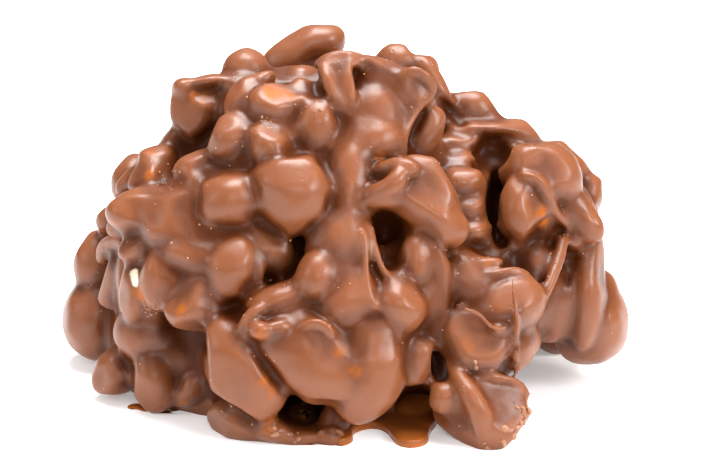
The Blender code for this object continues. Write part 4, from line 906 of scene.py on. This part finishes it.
def store_relief(mesh):
    """Stores crest and basin: how far the coat bulges out or sinks in at a corner, close by and broadly."""
    around = Neighbours(mesh)
    places, normals = corner_vectors(mesh, "co"), corner_vectors(mesh, "normal")
    offset = np.stack([around.mean(places[:, axis]) for axis in range(3)], axis=1) - places
    bend = -(offset * normals).sum(axis=1) / MM
    for name, rounds, gain in BULGES:
        for _ in range(rounds):
            bend = around.mean(bend)
        store(mesh, name, np.clip(bend * gain, -1, 1))


def store_thin_spots(mesh, tree, shift):
    """Stores thin, 1 where the nut's colour shows through the coat, and bare, 1 where there's no coat."""
    places = corner_vectors(mesh, "co")

    def radii_away(spot, radius):
        """How many radii each corner lies from the coat that shows at this spot, if any does."""
        point, _ = seen_on(tree, spot, shift)
        if point is None:
            return np.full(len(places), np.inf)
        return np.linalg.norm(places - np.array(point), axis=1) / (radius * MM)

    thin, bare = np.zeros(len(places)), np.zeros(len(places))
    for spot, radius, strength in THIN_SPOTS:
        thin = np.maximum(thin, strength * np.exp(-(radii_away(spot, radius) ** 2)))
    for spot in BARE_SPOTS:
        bare = np.maximum(bare, np.clip(BARE_EDGE - radii_away(spot, BARE_RADIUS), 0, 1))
    store(mesh, "thin", thin)
    store(mesh, "bare", bare)


# Materials


def linear(hex_colour):
    """An sRGB hex colour as linear light, with alpha 1."""
    channels = [int(hex_colour[i : i + 2], 16) / 255 for i in (1, 3, 5)]
    light = [c / 12.92 if c <= 0.04045 else ((c + 0.055) / 1.055) ** 2.4 for c in channels]
    return (*light, 1.0)


def add_node(tree, kind, inputs, output=0, **settings):
    """Adds a node and returns one of its outputs. An input takes a value, or the output of another node."""
    node = tree.nodes.new("ShaderNode" + kind)
    for name, value in settings.items():
        setattr(node, name, value)
    for key, value in inputs.items():
        if isinstance(value, bpy.types.NodeSocket):
            tree.links.new(value, node.inputs[key])
        else:
            node.inputs[key].default_value = value
    return node.outputs[output] if node.outputs else None


def start_material(name):
    """A material with no nodes yet but the one that gives places on the object."""
    material = bpy.data.materials.new(name)
    material.use_nodes = True
    tree = material.node_tree
    tree.nodes.clear()
    return material, tree, add_node(tree, "TexCoord", {}, "Object")


def finish_chocolate(tree, reliefs, surface):
    """Ends a chocolate's nodes: its skin, as rows of (pattern, strength, depth), and its shader."""
    skin = {}
    for pattern, strength, depth in reliefs:
        relief = {"Height": pattern, "Strength": strength, "Distance": depth * MM, **skin}
        skin = {"Normal": add_node(tree, "Bump", relief)}
    shader = add_node(tree, "BsdfPrincipled", {"IOR": CHOCOLATE_IOR, **surface, **skin})
    add_node(tree, "OutputMaterial", {"Surface": shader})


def coat_material(look):
    """Milk chocolate, tempered and hand dipped: a satin brown with soft wide highlights, warmer where it's
    thin over a nut's edge, with a painted highlight that pales the crests, painted shade that darkens the
    creases and hollows, and a fine uneven skin where it set."""
    material, tree, place = start_material("milk_chocolate_dipped")
    crest, basin, thin, bare = [
        add_node(tree, "Attribute", {}, "Fac", attribute_name=name)
        for name in ("crest", "basin", "thin", "bare")
    ]
    pattern = {}
    for name, (size, detail, roughness) in COAT_PATTERNS.items():
        noise = {"Vector": place, "Scale": 1 / (size * MM), "Detail": detail, "Roughness": roughness}
        pattern[name] = add_node(tree, "TexNoise", noise)
    pores = add_node(tree, "TexVoronoi", {"Vector": place, "Scale": 1 / (PORE_SPACING * MM)})
    uneven = {"Value": pattern["patches"], "From Min": 0.3, "From Max": 0.7, "To Min": 0.4}
    thin = add_node(tree, "Math", {0: thin, 1: add_node(tree, "MapRange", uneven)}, operation="MULTIPLY")
    # Each row is a share, what it follows from one number to another, and the share at those two.
    share = {}
    for name, followed, start, end, first, last in (
        ("mottled", pattern["mottle"], 0.35, 0.65, 0.0, 1.0),
        # painted highlight: the crests are mixed paler
        ("pale", crest, 0.1, 0.75, 0.0, 0.7),
        # painted shade: these two rows mix broad hollows and fine creases toward a dark colour
        ("hollow_shade", basin, -0.15, -0.8, 0.0, 0.65),
        ("crease_shade", crest, -0.2, -0.75, 0.0, 0.65),
        ("amber", thin, 0.12, 0.55, 0.0, 0.85),
        ("meat", bare, 0.3, 0.8, 0.0, 1.0),
        ("smooth", pores, 0.05, 0.14, 0.0, 1.0),
        ("rough", pattern["satin"], 0.3, 0.7, 0.32, 0.44),
        # painted shade on the reflection: these two rows dim it in creases and in broad hollows
        ("shine", crest, 0.0, -0.6, 0.38, 0.12),
        ("reflection_shade", basin, -0.1, -0.7, 1.0, 0.3),
    ):
        bounds = {"From Min": start, "From Max": end, "To Min": first, "To Max": last}
        share[name] = add_node(tree, "MapRange", {"Value": followed, **bounds})
    colour = linear(look.chocolate)
    for name, tint in (
        ("mottled", look.chocolate_deep),
        # painted highlight on the crests
        ("pale", look.chocolate_pale_and_highlight),
        # painted shade in the hollows and the creases
        ("hollow_shade", look.chocolate_painted_shade),
        ("crease_shade", look.chocolate_painted_shade),
        ("amber", look.amber),
        ("meat", look.nut_white),
    ):
        mixed = {MIX_SHARE: share[name], MIX_FROM: colour, MIX_TO: linear(tint)}
        colour = add_node(tree, "Mix", mixed, MIXED, data_type="RGBA")
    thick = {"Value": share["amber"], "From Max": 0.8, "To Min": 1.0, "To Max": 0.25}
    # the reflection, dimmed where the coat is thin, and as painted shade in the hollows
    shine = share["shine"]
    for factor in (add_node(tree, "MapRange", thick), share["reflection_shade"]):
        shine = add_node(tree, "Math", {0: shine, 1: factor}, operation="MULTIPLY")
    surface = {
        "Base Color": colour,
        "Roughness": share["rough"],
        "Subsurface Weight": 0.12,
        "Subsurface Radius": (1.0, 0.42, 0.22),
        "Subsurface Scale": 0.9 * MM,
        "Specular IOR Level": shine,
        "Coat Weight": 0.05,
        "Coat Roughness": 0.22,
    }
    reliefs = (
        (pattern["grain"], 0.18, 0.05),
        (pattern["ripple"], 0.35, 0.15),
        (share["smooth"], 0.4, 0.06),
    )
    finish_chocolate(tree, reliefs, surface)
    return material


def melt_material(look):
    """Milk chocolate that melted and ran thin: dark and wet, with an amber rim that light comes through."""
    material, tree, place = start_material("milk_chocolate_melted")
    height = add_node(tree, "SeparateXYZ", {"Vector": place}, "Z")
    rim = {"From Min": MELT_RIM[0] * MM, "From Max": MELT_RIM[1] * MM}
    thick = add_node(tree, "MapRange", {"Value": height, **rim})
    mixed = {MIX_SHARE: thick, MIX_FROM: linear(look.amber), MIX_TO: linear(look.melt)}
    colour = add_node(tree, "Mix", mixed, MIXED, data_type="RGBA")
    ripple = add_node(tree, "TexNoise", {"Vector": place, "Scale": 1 / (MELT_RIPPLE * MM), "Detail": 3.0})
    surface = {"Base Color": colour, "Roughness": 0.22, "Specular IOR Level": 0.3}
    finish_chocolate(tree, [(ripple, 0.2, 0.1)], surface)
    return material


def crumb_material(look):
    """Broken milk chocolate: a dry, paler, crumbly face."""
    material, tree, place = start_material("milk_chocolate_broken")
    tone, face = [
        add_node(tree, "TexNoise", {"Vector": place, "Scale": 1 / (size * MM), "Detail": 3.0})
        for size in (CRUMB_TONE, CRUMB_FACE)
    ]
    mixed = {MIX_SHARE: tone, MIX_FROM: linear(look.chocolate_pale_and_highlight), MIX_TO: linear(look.bubble)}
    colour = add_node(tree, "Mix", mixed, MIXED, data_type="RGBA")
    finish_chocolate(tree, [(face, 0.6, 0.05)], {"Base Color": colour, "Roughness": 0.6})
    return material


def bubble_material(look):
    """Pinhead bubbles that set in the skin: thin pale domes that catch the light."""
    material, tree, place = start_material("milk_chocolate_bubbles")
    tone = add_node(tree, "TexNoise", {"Vector": place, "Scale": 1 / (BUBBLE_TONE * MM), "Detail": 3.0})
    tone = add_node(tree, "MapRange", {"Value": tone, "From Min": 0.35, "From Max": 0.65})
    mixed = {MIX_SHARE: tone, MIX_FROM: linear(look.bubble), MIX_TO: linear(look.chocolate_pale_and_highlight)}
    colour = add_node(tree, "Mix", mixed, MIXED, data_type="RGBA")
    finish_chocolate(tree, [], {"Base Color": colour, "Roughness": 0.25})
    return material


# Settings


class PecanHeap(bpy.types.PropertyGroup):
    """Sizes of the coat"""

    grain: bpy.props.FloatProperty(
        name="Grain", description="Voxel that the coat is worked in", default=0.22 * MM, unit="LENGTH"
    )
    fillet: bpy.props.FloatProperty(
        name="Fillet", description="Radius in a crease between bits", default=0.22 * MM, unit="LENGTH"
    )
    smoothing: bpy.props.IntProperty(
        name="Smoothing", description="Times the coat is evened out", default=2
    )
    drape_grain: bpy.props.FloatProperty(
        name="Drape grain", description="Voxel that the drape is worked in", default=0.5 * MM, unit="LENGTH"
    )
    drape_reach: bpy.props.FloatProperty(
        name="Drape reach", description="Half the widest gap it bridges", default=1.3 * MM, unit="LENGTH"
    )
    drape_depth: bpy.props.FloatProperty(
        name="Drape depth", description="Its depth below the bits", default=1.0 * MM, unit="LENGTH"
    )
    lip_smoothing: bpy.props.IntProperty(
        name="Lip smoothing", description="Times the lips are evened out", default=2
    )
    line_smoothing: bpy.props.IntProperty(
        name="Line smoothing", description="Times the fine lines are evened out", default=2
    )
    lip_fillet: bpy.props.FloatProperty(
        name="Lip fillet", description="Radius beside the lips and runs", default=0.15 * MM, unit="LENGTH"
    )
    lump: bpy.props.FloatProperty(
        name="Lump", description="Height of the coat's broad lumps", default=0.7 * MM, unit="LENGTH"
    )
    lump_length: bpy.props.FloatProperty(
        name="Lump length", description="Size of the coat's broad lumps", default=4.5 * MM, unit="LENGTH"
    )
    wave: bpy.props.FloatProperty(
        name="Wave", description="Height of the coat's slow waves", default=0.16 * MM, unit="LENGTH"
    )
    wave_length: bpy.props.FloatProperty(
        name="Wave length", description="Size of the coat's slow waves", default=1.8 * MM, unit="LENGTH"
    )
    fold: bpy.props.FloatProperty(
        name="Fold", description="Height of the coat's folds", default=0.3 * MM, unit="LENGTH"
    )
    fold_length: bpy.props.FloatProperty(
        name="Fold length", description="Size of the coat's folds", default=3.4 * MM, unit="LENGTH"
    )
    triangles: bpy.props.IntProperty(
        name="Triangles", description="Most triangles in the coat", default=192000
    )
    shift: bpy.props.FloatVectorProperty(
        name="Shift", description="Move that centres the cluster on its base", subtype="TRANSLATION"
    )


class PecanLook(bpy.types.PropertyGroup):
    """Colours of the chocolate, as sRGB hex, among them the painted highlight of the crests and the painted
    shade of the creases
    """

    chocolate: bpy.props.StringProperty(name="Chocolate", description="Main colour", default="#613115")
    chocolate_deep: bpy.props.StringProperty(name="Deep", description="Mottled with it", default="#50250d")
    # Painted highlight on the crests, and also the own paler colour of the crumbs and the bubbles
    chocolate_pale_and_highlight: bpy.props.StringProperty(name="Pale", description="On the crests", default="#7e4829")
    # Painted shade: the colour that darkens the creases and hollows
    chocolate_painted_shade: bpy.props.StringProperty(name="Dark", description="In the creases", default="#321304")
    amber: bpy.props.StringProperty(name="Amber", description="Where the coat is thin", default="#a05412")
    nut_white: bpy.props.StringProperty(name="Nut", description="Bare pecan meat", default="#f2e2c4")
    melt: bpy.props.StringProperty(name="Melt", description="Melted chocolate", default="#8a4a1c")
    bubble: bpy.props.StringProperty(name="Bubble", description="Pinhead bubbles", default="#a87a5c")


class PecanStage(bpy.types.PropertyGroup):
    """Floor, lights and camera"""

    floor_colour: bpy.props.StringProperty(name="Floor", description="Colour, sRGB hex", default="#f4f4f4")
    floor_size: bpy.props.FloatProperty(
        name="Floor size", description="Side of the floor", default=4.0, unit="LENGTH"
    )
    glow: bpy.props.FloatProperty(name="Glow", description="Light through the floor", default=0.31)
    sky: bpy.props.FloatProperty(name="Sky", description="Strength of the light from above", default=0.8)
    sky_low: bpy.props.FloatProperty(name="Low sky", description="Strength near the floor", default=0.06)
    key: bpy.props.FloatProperty(name="Key", description="Overhead light", default=4.4, unit="POWER")
    side: bpy.props.FloatProperty(name="Sides", description="Lights round it", default=1.2, unit="POWER")


# Operators


class PECAN_OT_core(bpy.types.Operator):
    """Add the inside of the heap, with the hollows cut out of it"""

    bl_idname = "pecan.core"
    bl_label = "Core"

    def execute(self, context):
        use_collection("cluster")
        (middle, sizes), *others = CORES
        coat = add_ellipsoid(COAT, Vector(middle) * MM, sizes, detail=CORE_DETAIL)
        pieces = use_collection("bits")
        for number, (middle, sizes) in enumerate(others):
            add_ellipsoid(f"core_{number}", Vector(middle) * MM, sizes, detail=CORE_DETAIL)
        join_with(coat, "UNION", pieces)
        cut_out(coat, HOLLOWS)
        return {"FINISHED"}


class PECAN_OT_nut_bits(bpy.types.Operator):
    """Add the nut bits that the front view shows, and those of the sides and the back"""

    bl_idname = "pecan.nut_bits"
    bl_label = "Nut bits"

    def execute(self, context):
        pieces = use_collection("bits")
        draws = random.Random(SEED)
        for name, place, sizes, lean, flats in NUT_BITS:
            add_nut_bit(name, place, sizes, lean, flats, draws)
        taken = [in_window(*place) / MM for _, place, *_ in NUT_BITS]
        self.add_rear_feet(taken)
        self.add_rear_bits(taken)
        coat = bpy.data.objects[COAT]
        join_with(coat, "UNION", pieces)
        cut_out(coat, GAPS)
        return {"FINISHED"}

    def add_rear_feet(self, taken):
        """Bits round the sides and the back that stand on the ground."""
        draws = random.Random(SEED + 2)
        first, step = FOOT_BEARINGS
        for number in range(FEET):
            bearing = math.radians(first + number * step + draws.uniform(-FOOT_SWING, FOOT_SWING))
            middle = on_heap(bearing, 0, draws.uniform(*FOOT_DEPTH))
            middle.z = draws.uniform(*FOOT_LIFT)
            self.add_rear_bit(f"rear_foot_{number:02d}", middle, FOOT_SIZES, Matrix.Identity(3), draws)
            taken.append(middle)

    def add_rear_bits(self, taken):
        """Bits over the sides and the back, each clear of the middles that are already taken."""
        draws = random.Random(SEED)
        golden_angle = math.pi * (3 - math.sqrt(5))
        for step in range(REAR_STEPS):
            surface = on_heap(step * golden_angle, 1 - (step + 0.5) / REAR_STEPS)
            if surface.y < REAR_START + REAR_LEAN * surface.z:
                continue
            outward = heap_normal(surface)
            middle = surface - outward * draws.uniform(*REAR_DEPTH)
            middle.z = max(middle.z, REAR_LOWEST)
            if min((middle - other).length for other in taken) < draws.uniform(*REAR_SPACING):
                continue
            facing = outward.to_track_quat("Z", "Y").to_matrix()
            self.add_rear_bit(f"rear_bit_{step:03d}", middle, REAR_SIZES, facing, draws)
            taken.append(middle)

    def add_rear_bit(self, name, middle, spans, facing, draws):
        """A bit whose sizes, spin and flats are drawn at random, turned to its facing."""
        sizes = [draws.uniform(*span) for span in spans]
        turn = facing @ Matrix.Rotation(draws.uniform(0, math.tau), 3, "Z")
        flats = random_flats(draws, draws.randint(*REAR_FLATS))
        add_ellipsoid(name, middle * MM, sizes, turn, flats)


class PECAN_OT_coat(bpy.types.Operator):
    """Lay one coat over the core and the bits, which fills the creases between them"""

    bl_idname = "pecan.coat"
    bl_label = "Coat"

    def execute(self, context):
        heap = context.scene.pecan_heap
        coat = bpy.data.objects[COAT]
        add_drape(coat, heap.drape_grain, heap.drape_reach, heap.drape_depth)
        fill_creases(coat, heap.grain, heap.fillet)
        for kind, length, height in (
            ("CLOUDS", heap.lump_length, heap.lump),
            ("CLOUDS", heap.wave_length, heap.wave),
            ("VORONOI", heap.fold_length, heap.fold),
        ):
            waves = bpy.data.textures.new("waves", kind)
            waves.noise_scale = length
            apply_modifier(coat, "DISPLACE", texture=waves, strength=height, texture_coords="LOCAL")
        even_out(coat, heap.smoothing)
        return {"FINISHED"}


class PECAN_OT_lips(bpy.types.Operator):
    """Add the lips, curls and runs that the chocolate set in"""

    bl_idname = "pecan.lips"
    bl_label = "Lips and runs"

    def execute(self, context):
        heap = context.scene.pecan_heap
        coat = bpy.data.objects[COAT]
        pieces = use_collection("bits")
        for name, points, radii in RUNS:
            add_run(name, [in_window(*point) for point in points], radii)
        self.add_rear_drips()
        join_with(coat, "UNION", pieces)
        fill_creases(coat, heap.grain, heap.lip_fillet)
        even_out(coat, heap.lip_smoothing)
        return {"FINISHED"}

    def add_rear_drips(self):
        """Runs of chocolate down the sides and the back."""
        draws = random.Random(SEED + 1)
        first, step = DRIP_BEARINGS
        for number in range(DRIPS):
            bearing = math.radians(first + number * step + draws.uniform(-DRIP_SWING, DRIP_SWING))
            top, low = draws.uniform(*DRIP_TOP), draws.uniform(*DRIP_LOW)
            points, radii = [], []
            for knot in range(DRIP_POINTS):
                height = top + (low - top) * knot / (DRIP_POINTS - 1)
                wander = draws.uniform(-DRIP_WANDER, DRIP_WANDER)
                points.append(on_heap(bearing + wander, height, DRIP_DEPTH) * MM)
                radii.append(draws.uniform(*DRIP_RADII))
            add_run(f"rear_drip_{number}", points, radii)


class PECAN_OT_lines(bpy.types.Operator):
    """Lay the fine ridges on the coat, press the fine grooves into it, and even it out"""

    bl_idname = "pecan.lines"
    bl_label = "Ridges and grooves"

    def execute(self, context):
        heap = context.scene.pecan_heap
        coat = bpy.data.objects[COAT]
        tree = coat_tree(coat)
        for rows, operation in ((RIDGES, "UNION"), (GROOVES, "DIFFERENCE")):
            pieces = use_collection("bits")
            for name, radius, places in rows:
                self.add_line(tree, name, radius, places)
            join_with(coat, operation, pieces)
        remesh(coat, heap.grain)
        even_out(coat, heap.line_smoothing)
        return {"FINISHED"}

    def add_line(self, tree, name, radius, places):
        """A thin run along the coat, through these places of the window and thinner at its ends."""
        stretches, last = [], None
        for place in even_places(places, LINE_STEP):
            point, _ = seen_on(tree, place, Vector())
            if point is None:
                last = None
                continue
            if last is None or (point - last).length > LINE_JUMP * MM:
                stretches.append([])
            stretches[-1].append(point)
            last = point
        for number, points in enumerate(stretches):
            if len(points) > 2:
                middle = (len(points) - 1) / 2
                ends = [abs(knot / middle - 1) for knot in range(len(points))]
                radii = [radius * (1 - LINE_TAPER * end**3) for end in ends]
                add_run(f"{name}_{number}", points, radii)


class PECAN_OT_finish_coat(bpy.types.Operator):
    """Thin the coat out, stand it on its flat base and colour it"""

    bl_idname = "pecan.finish_coat"
    bl_label = "Finish the coat"

    def execute(self, context):
        heap = context.scene.pecan_heap
        coat = keep_largest(bpy.data.objects[COAT])
        triangles = 2 * len(coat.data.polygons)
        apply_modifier(coat, "DECIMATE", ratio=min(1, heap.triangles / triangles))
        settle(coat)
        stand_on_floor(coat)
        coat = keep_largest(coat)
        places = corner_vectors(coat.data, "co")
        middle = [float(places[:, axis].min() + places[:, axis].max()) / 2 for axis in (0, 1)]
        heap.shift = [-middle[0], -middle[1], 0]
        settle(coat, Vector(heap.shift))
        bpy.ops.object.shade_smooth_by_angle(angle=SHARP)
        store_relief(coat.data)
        store_thin_spots(coat.data, coat_tree(coat), Vector(heap.shift))
        dress(coat, coat_material(context.scene.pecan_look))
        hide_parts(CAD_NODE)
        return {"FINISHED"}


class PECAN_OT_melt(bpy.types.Operator):
    """Add the thin melted chocolate that ran out on the floor"""

    bl_idname = "pecan.melt"
    bl_label = "Melt"

    def execute(self, context):
        use_collection("cluster")
        melt = add_film("melted_chocolate", [on_floor(*place) for place in MELT_OUTLINE], MELT_HEIGHT * MM)
        pieces = use_collection("bits")
        for number, (place, sizes, lean) in enumerate(MELT_DROPS):
            turn = Matrix.Rotation(math.radians(lean), 3, "Z")
            add_ellipsoid(f"melt_{number}", on_floor(*place), sizes, turn)
        join_with(melt, "UNION", pieces)
        remesh(melt, MELT_GRAIN * MM)
        even_out(melt, MELT_SMOOTHING)
        settle(melt, Vector(context.scene.pecan_heap.shift))
        stand_on_floor(melt)
        bpy.ops.object.shade_smooth_by_angle(angle=SHARP)
        dress(melt, melt_material(context.scene.pecan_look))
        return {"FINISHED"}


class PECAN_OT_bubbles(bpy.types.Operator):
    """Scatter the pinhead bubbles over the coat"""

    bl_idname = "pecan.bubbles"
    bl_label = "Bubbles"

    def execute(self, context):
        coat = bpy.data.objects[COAT]
        draws = random.Random(SEED + 3)
        spots = self.spots_all_over(coat.data, draws)
        spots += self.spots_in_patches(coat_tree(coat), Vector(context.scene.pecan_heap.shift), draws)
        use_collection("cluster")
        bead = add_ellipsoid("bubble", Vector(), [1 / MM] * 3, detail=BEAD_DETAIL)
        beads = []
        for point, normal in spots:
            size = 2 * draws.uniform(*BUBBLE_RADII) * MM
            turn = normal.to_track_quat("Z", "Y").to_matrix().to_4x4()
            width = size * draws.uniform(*BUBBLE_WIDTH)
            scale = Matrix.Diagonal((size, width, size * BUBBLE_HEIGHT, 1))
            copy = bead.copy()
            copy.data = bead.data.copy()
            copy.matrix_world = Matrix.Translation(point) @ turn @ scale
            context.collection.objects.link(copy)
            beads.append(copy)
        bpy.data.objects.remove(bead)
        bubbles = gather(beads, "pinhead_bubbles")
        bpy.ops.object.shade_smooth()
        dress(bubbles, bubble_material(context.scene.pecan_look))
        return {"FINISHED"}

    def spots_all_over(self, mesh, draws):
        """Corners of the coat drawn at random, with the way that each faces."""
        places, normals = corner_vectors(mesh, "co"), corner_vectors(mesh, "normal")
        spots = []
        while len(spots) < BUBBLES:
            pick = draws.randrange(len(places))
            if places[pick][2] > BUBBLE_LOWEST * MM and normals[pick][2] > BUBBLE_STEEPEST:
                spots.append((Vector(places[pick].tolist()), Vector(normals[pick].tolist())))
        return spots

    def spots_in_patches(self, tree, shift, draws):
        """Places drawn at random in the patches of the window where bubbles crowd."""
        spots = []
        for (across, down), radius, count in BUBBLE_PATCHES:
            for _ in range(count):
                reach, clock = radius * math.sqrt(draws.random()), draws.uniform(0, math.tau)
                place = (across + reach * math.cos(clock), down + reach * math.sin(clock))
                point, normal = seen_on(tree, place, shift)
                if point is not None:
                    spots.append((point, normal))
        return spots


class PECAN_OT_crumbs(bpy.types.Operator):
    """Add the crumbs at the broken edges"""

    bl_idname = "pecan.crumbs"
    bl_label = "Crumbs"

    def execute(self, context):
        tree = coat_tree(bpy.data.objects[COAT])
        shift = Vector(context.scene.pecan_heap.shift)
        draws = random.Random(SEED + 4)
        use_collection("cluster")
        crumbs = []
        for (across, down), radius, count in CRUMBS:
            for _ in range(count):
                place = (across + draws.uniform(-radius, radius), down + draws.uniform(-radius, radius))
                point, _ = seen_on(tree, place, shift)
                if point is None:
                    continue
                size = draws.uniform(*CRUMB_SIZES)
                point.z = max(point.z, size * CRUMB_LIFT * MM)
                sizes = [size * share for share in CRUMB_SHAPE]
                turn = Euler([draws.uniform(0, math.tau) for _ in range(3)]).to_matrix()
                flats = random_flats(draws, CRUMB_FLATS)
                name = f"crumb_{len(crumbs)}"
                crumbs.append(add_ellipsoid(name, point, sizes, turn, flats, detail=BEAD_DETAIL))
        joined = gather(crumbs, "chocolate_crumbs")
        bpy.ops.object.shade_flat()
        dress(joined, crumb_material(context.scene.pecan_look))
        return {"FINISHED"}


class PECAN_OT_stage(bpy.types.Operator):
    """Add the floor, the lights and the camera"""

    bl_idname = "pecan.stage"
    bl_label = "Stage"

    def execute(self, context):
        stage = context.scene.pecan_stage
        use_collection("stage")
        self.add_floor(stage)
        self.add_sky(context.scene, stage)
        for name, place, size, setting, share in LIGHTS:
            self.add_light(name, Vector(place), size, getattr(stage, setting) * share)
        self.add_camera(context.scene, Vector(context.scene.pecan_heap.shift))
        return {"FINISHED"}

    def add_floor(self, stage):
        """The plain pale floor, of paper that glows a little as if lit from below."""
        bpy.ops.object.select_all(action="DESELECT")
        bpy.ops.mesh.primitive_plane_add(size=stage.floor_size)
        floor = bpy.context.object
        floor.name = "floor"
        material, tree, _ = start_material("floor_paper")
        colour = linear(stage.floor_colour)
        paper = {"Base Color": colour, "Roughness": PAPER_ROUGHNESS}
        glow = {"Emission Color": colour, "Emission Strength": stage.glow}
        shader = add_node(tree, "BsdfPrincipled", {**paper, **glow})
        add_node(tree, "OutputMaterial", {"Surface": shader})
        floor.data.materials.append(material)

    def add_sky(self, scene, stage):
        """White light from all round, stronger from above."""
        scene.world = bpy.data.worlds.new("studio")
        scene.world.use_nodes = True
        tree = scene.world.node_tree
        height = add_node(tree, "SeparateXYZ", {"Vector": add_node(tree, "TexCoord", {}, "Generated")}, "Z")
        rise = {"From Max": SKY_TOP, "To Min": stage.sky_low, "To Max": stage.sky}
        strength = add_node(tree, "MapRange", {"Value": height, **rise})
        background = tree.nodes["Background"]
        background.inputs["Color"].default_value = (1, 1, 1, 1)
        tree.links.new(strength, background.inputs["Strength"])

    def add_light(self, name, place, size, power):
        """A soft square light that faces the cluster."""
        bpy.ops.object.light_add(type="AREA", location=place)
        light = bpy.context.object
        light.name = name
        light.data.size = size
        light.data.energy = power
        light.rotation_euler = (LIGHTS_AIM * MM - place).to_track_quat("-Z", "Y").to_euler()

    def add_camera(self, scene, shift):
        """The camera that sees the window as the photograph shows it."""
        turn = SIGHT.to_track_quat("-Z", "Y").to_euler()
        bpy.ops.object.camera_add(location=EYE * MM + shift, rotation=turn)
        camera = bpy.context.object
        camera.data.sensor_width = SENSOR_WIDTH
        camera.data.lens = SENSOR_WIDTH * SIGHT_DISTANCE / WINDOW_WIDTH
        camera.data.clip_start = NEAREST_SEEN * MM
        scene.camera = camera
        scene.view_settings.view_transform = "Standard"


class PECAN_PT_panel(bpy.types.Panel):
    """The steps of the cluster, in order"""

    bl_label = "Chocolate pecan cluster"
    bl_space_type = "VIEW_3D"
    bl_region_type = "UI"
    bl_category = "Pecan cluster"

    def draw(self, context):
        scene = context.scene
        for group in (scene.pecan_heap, scene.pecan_look, scene.pecan_stage):
            box = self.layout.box()
            for name in group.__annotations__:
                box.prop(group, name)
        for step in STEPS:
            self.layout.operator(step.bl_idname)


STEPS = (
    PECAN_OT_core,
    PECAN_OT_nut_bits,
    PECAN_OT_coat,
    PECAN_OT_lips,
    PECAN_OT_lines,
    PECAN_OT_finish_coat,
    PECAN_OT_melt,
    PECAN_OT_bubbles,
    PECAN_OT_crumbs,
    PECAN_OT_stage,
)
CLASSES = (PecanHeap, PecanLook, PecanStage, *STEPS, PECAN_PT_panel)


def register():
    for cls in CLASSES:
        bpy.utils.register_class(cls)
    bpy.types.Scene.pecan_heap = bpy.props.PointerProperty(type=PecanHeap)
    bpy.types.Scene.pecan_look = bpy.props.PointerProperty(type=PecanLook)
    bpy.types.Scene.pecan_stage = bpy.props.PointerProperty(type=PecanStage)


def unregister():
    del bpy.types.Scene.pecan_stage
    del bpy.types.Scene.pecan_look
    del bpy.types.Scene.pecan_heap
    for cls in reversed(CLASSES):
        bpy.utils.unregister_class(cls)


def main():
    register()
    bpy.ops.pecan.core()
    bpy.ops.pecan.nut_bits()
    bpy.ops.pecan.coat()
    bpy.ops.pecan.lips()
    bpy.ops.pecan.lines()
    bpy.ops.pecan.finish_coat()
    bpy.ops.pecan.melt()
    bpy.ops.pecan.bubbles()
    bpy.ops.pecan.crumbs()
    bpy.ops.pecan.stage()


if __name__ == "__main__":
    main()
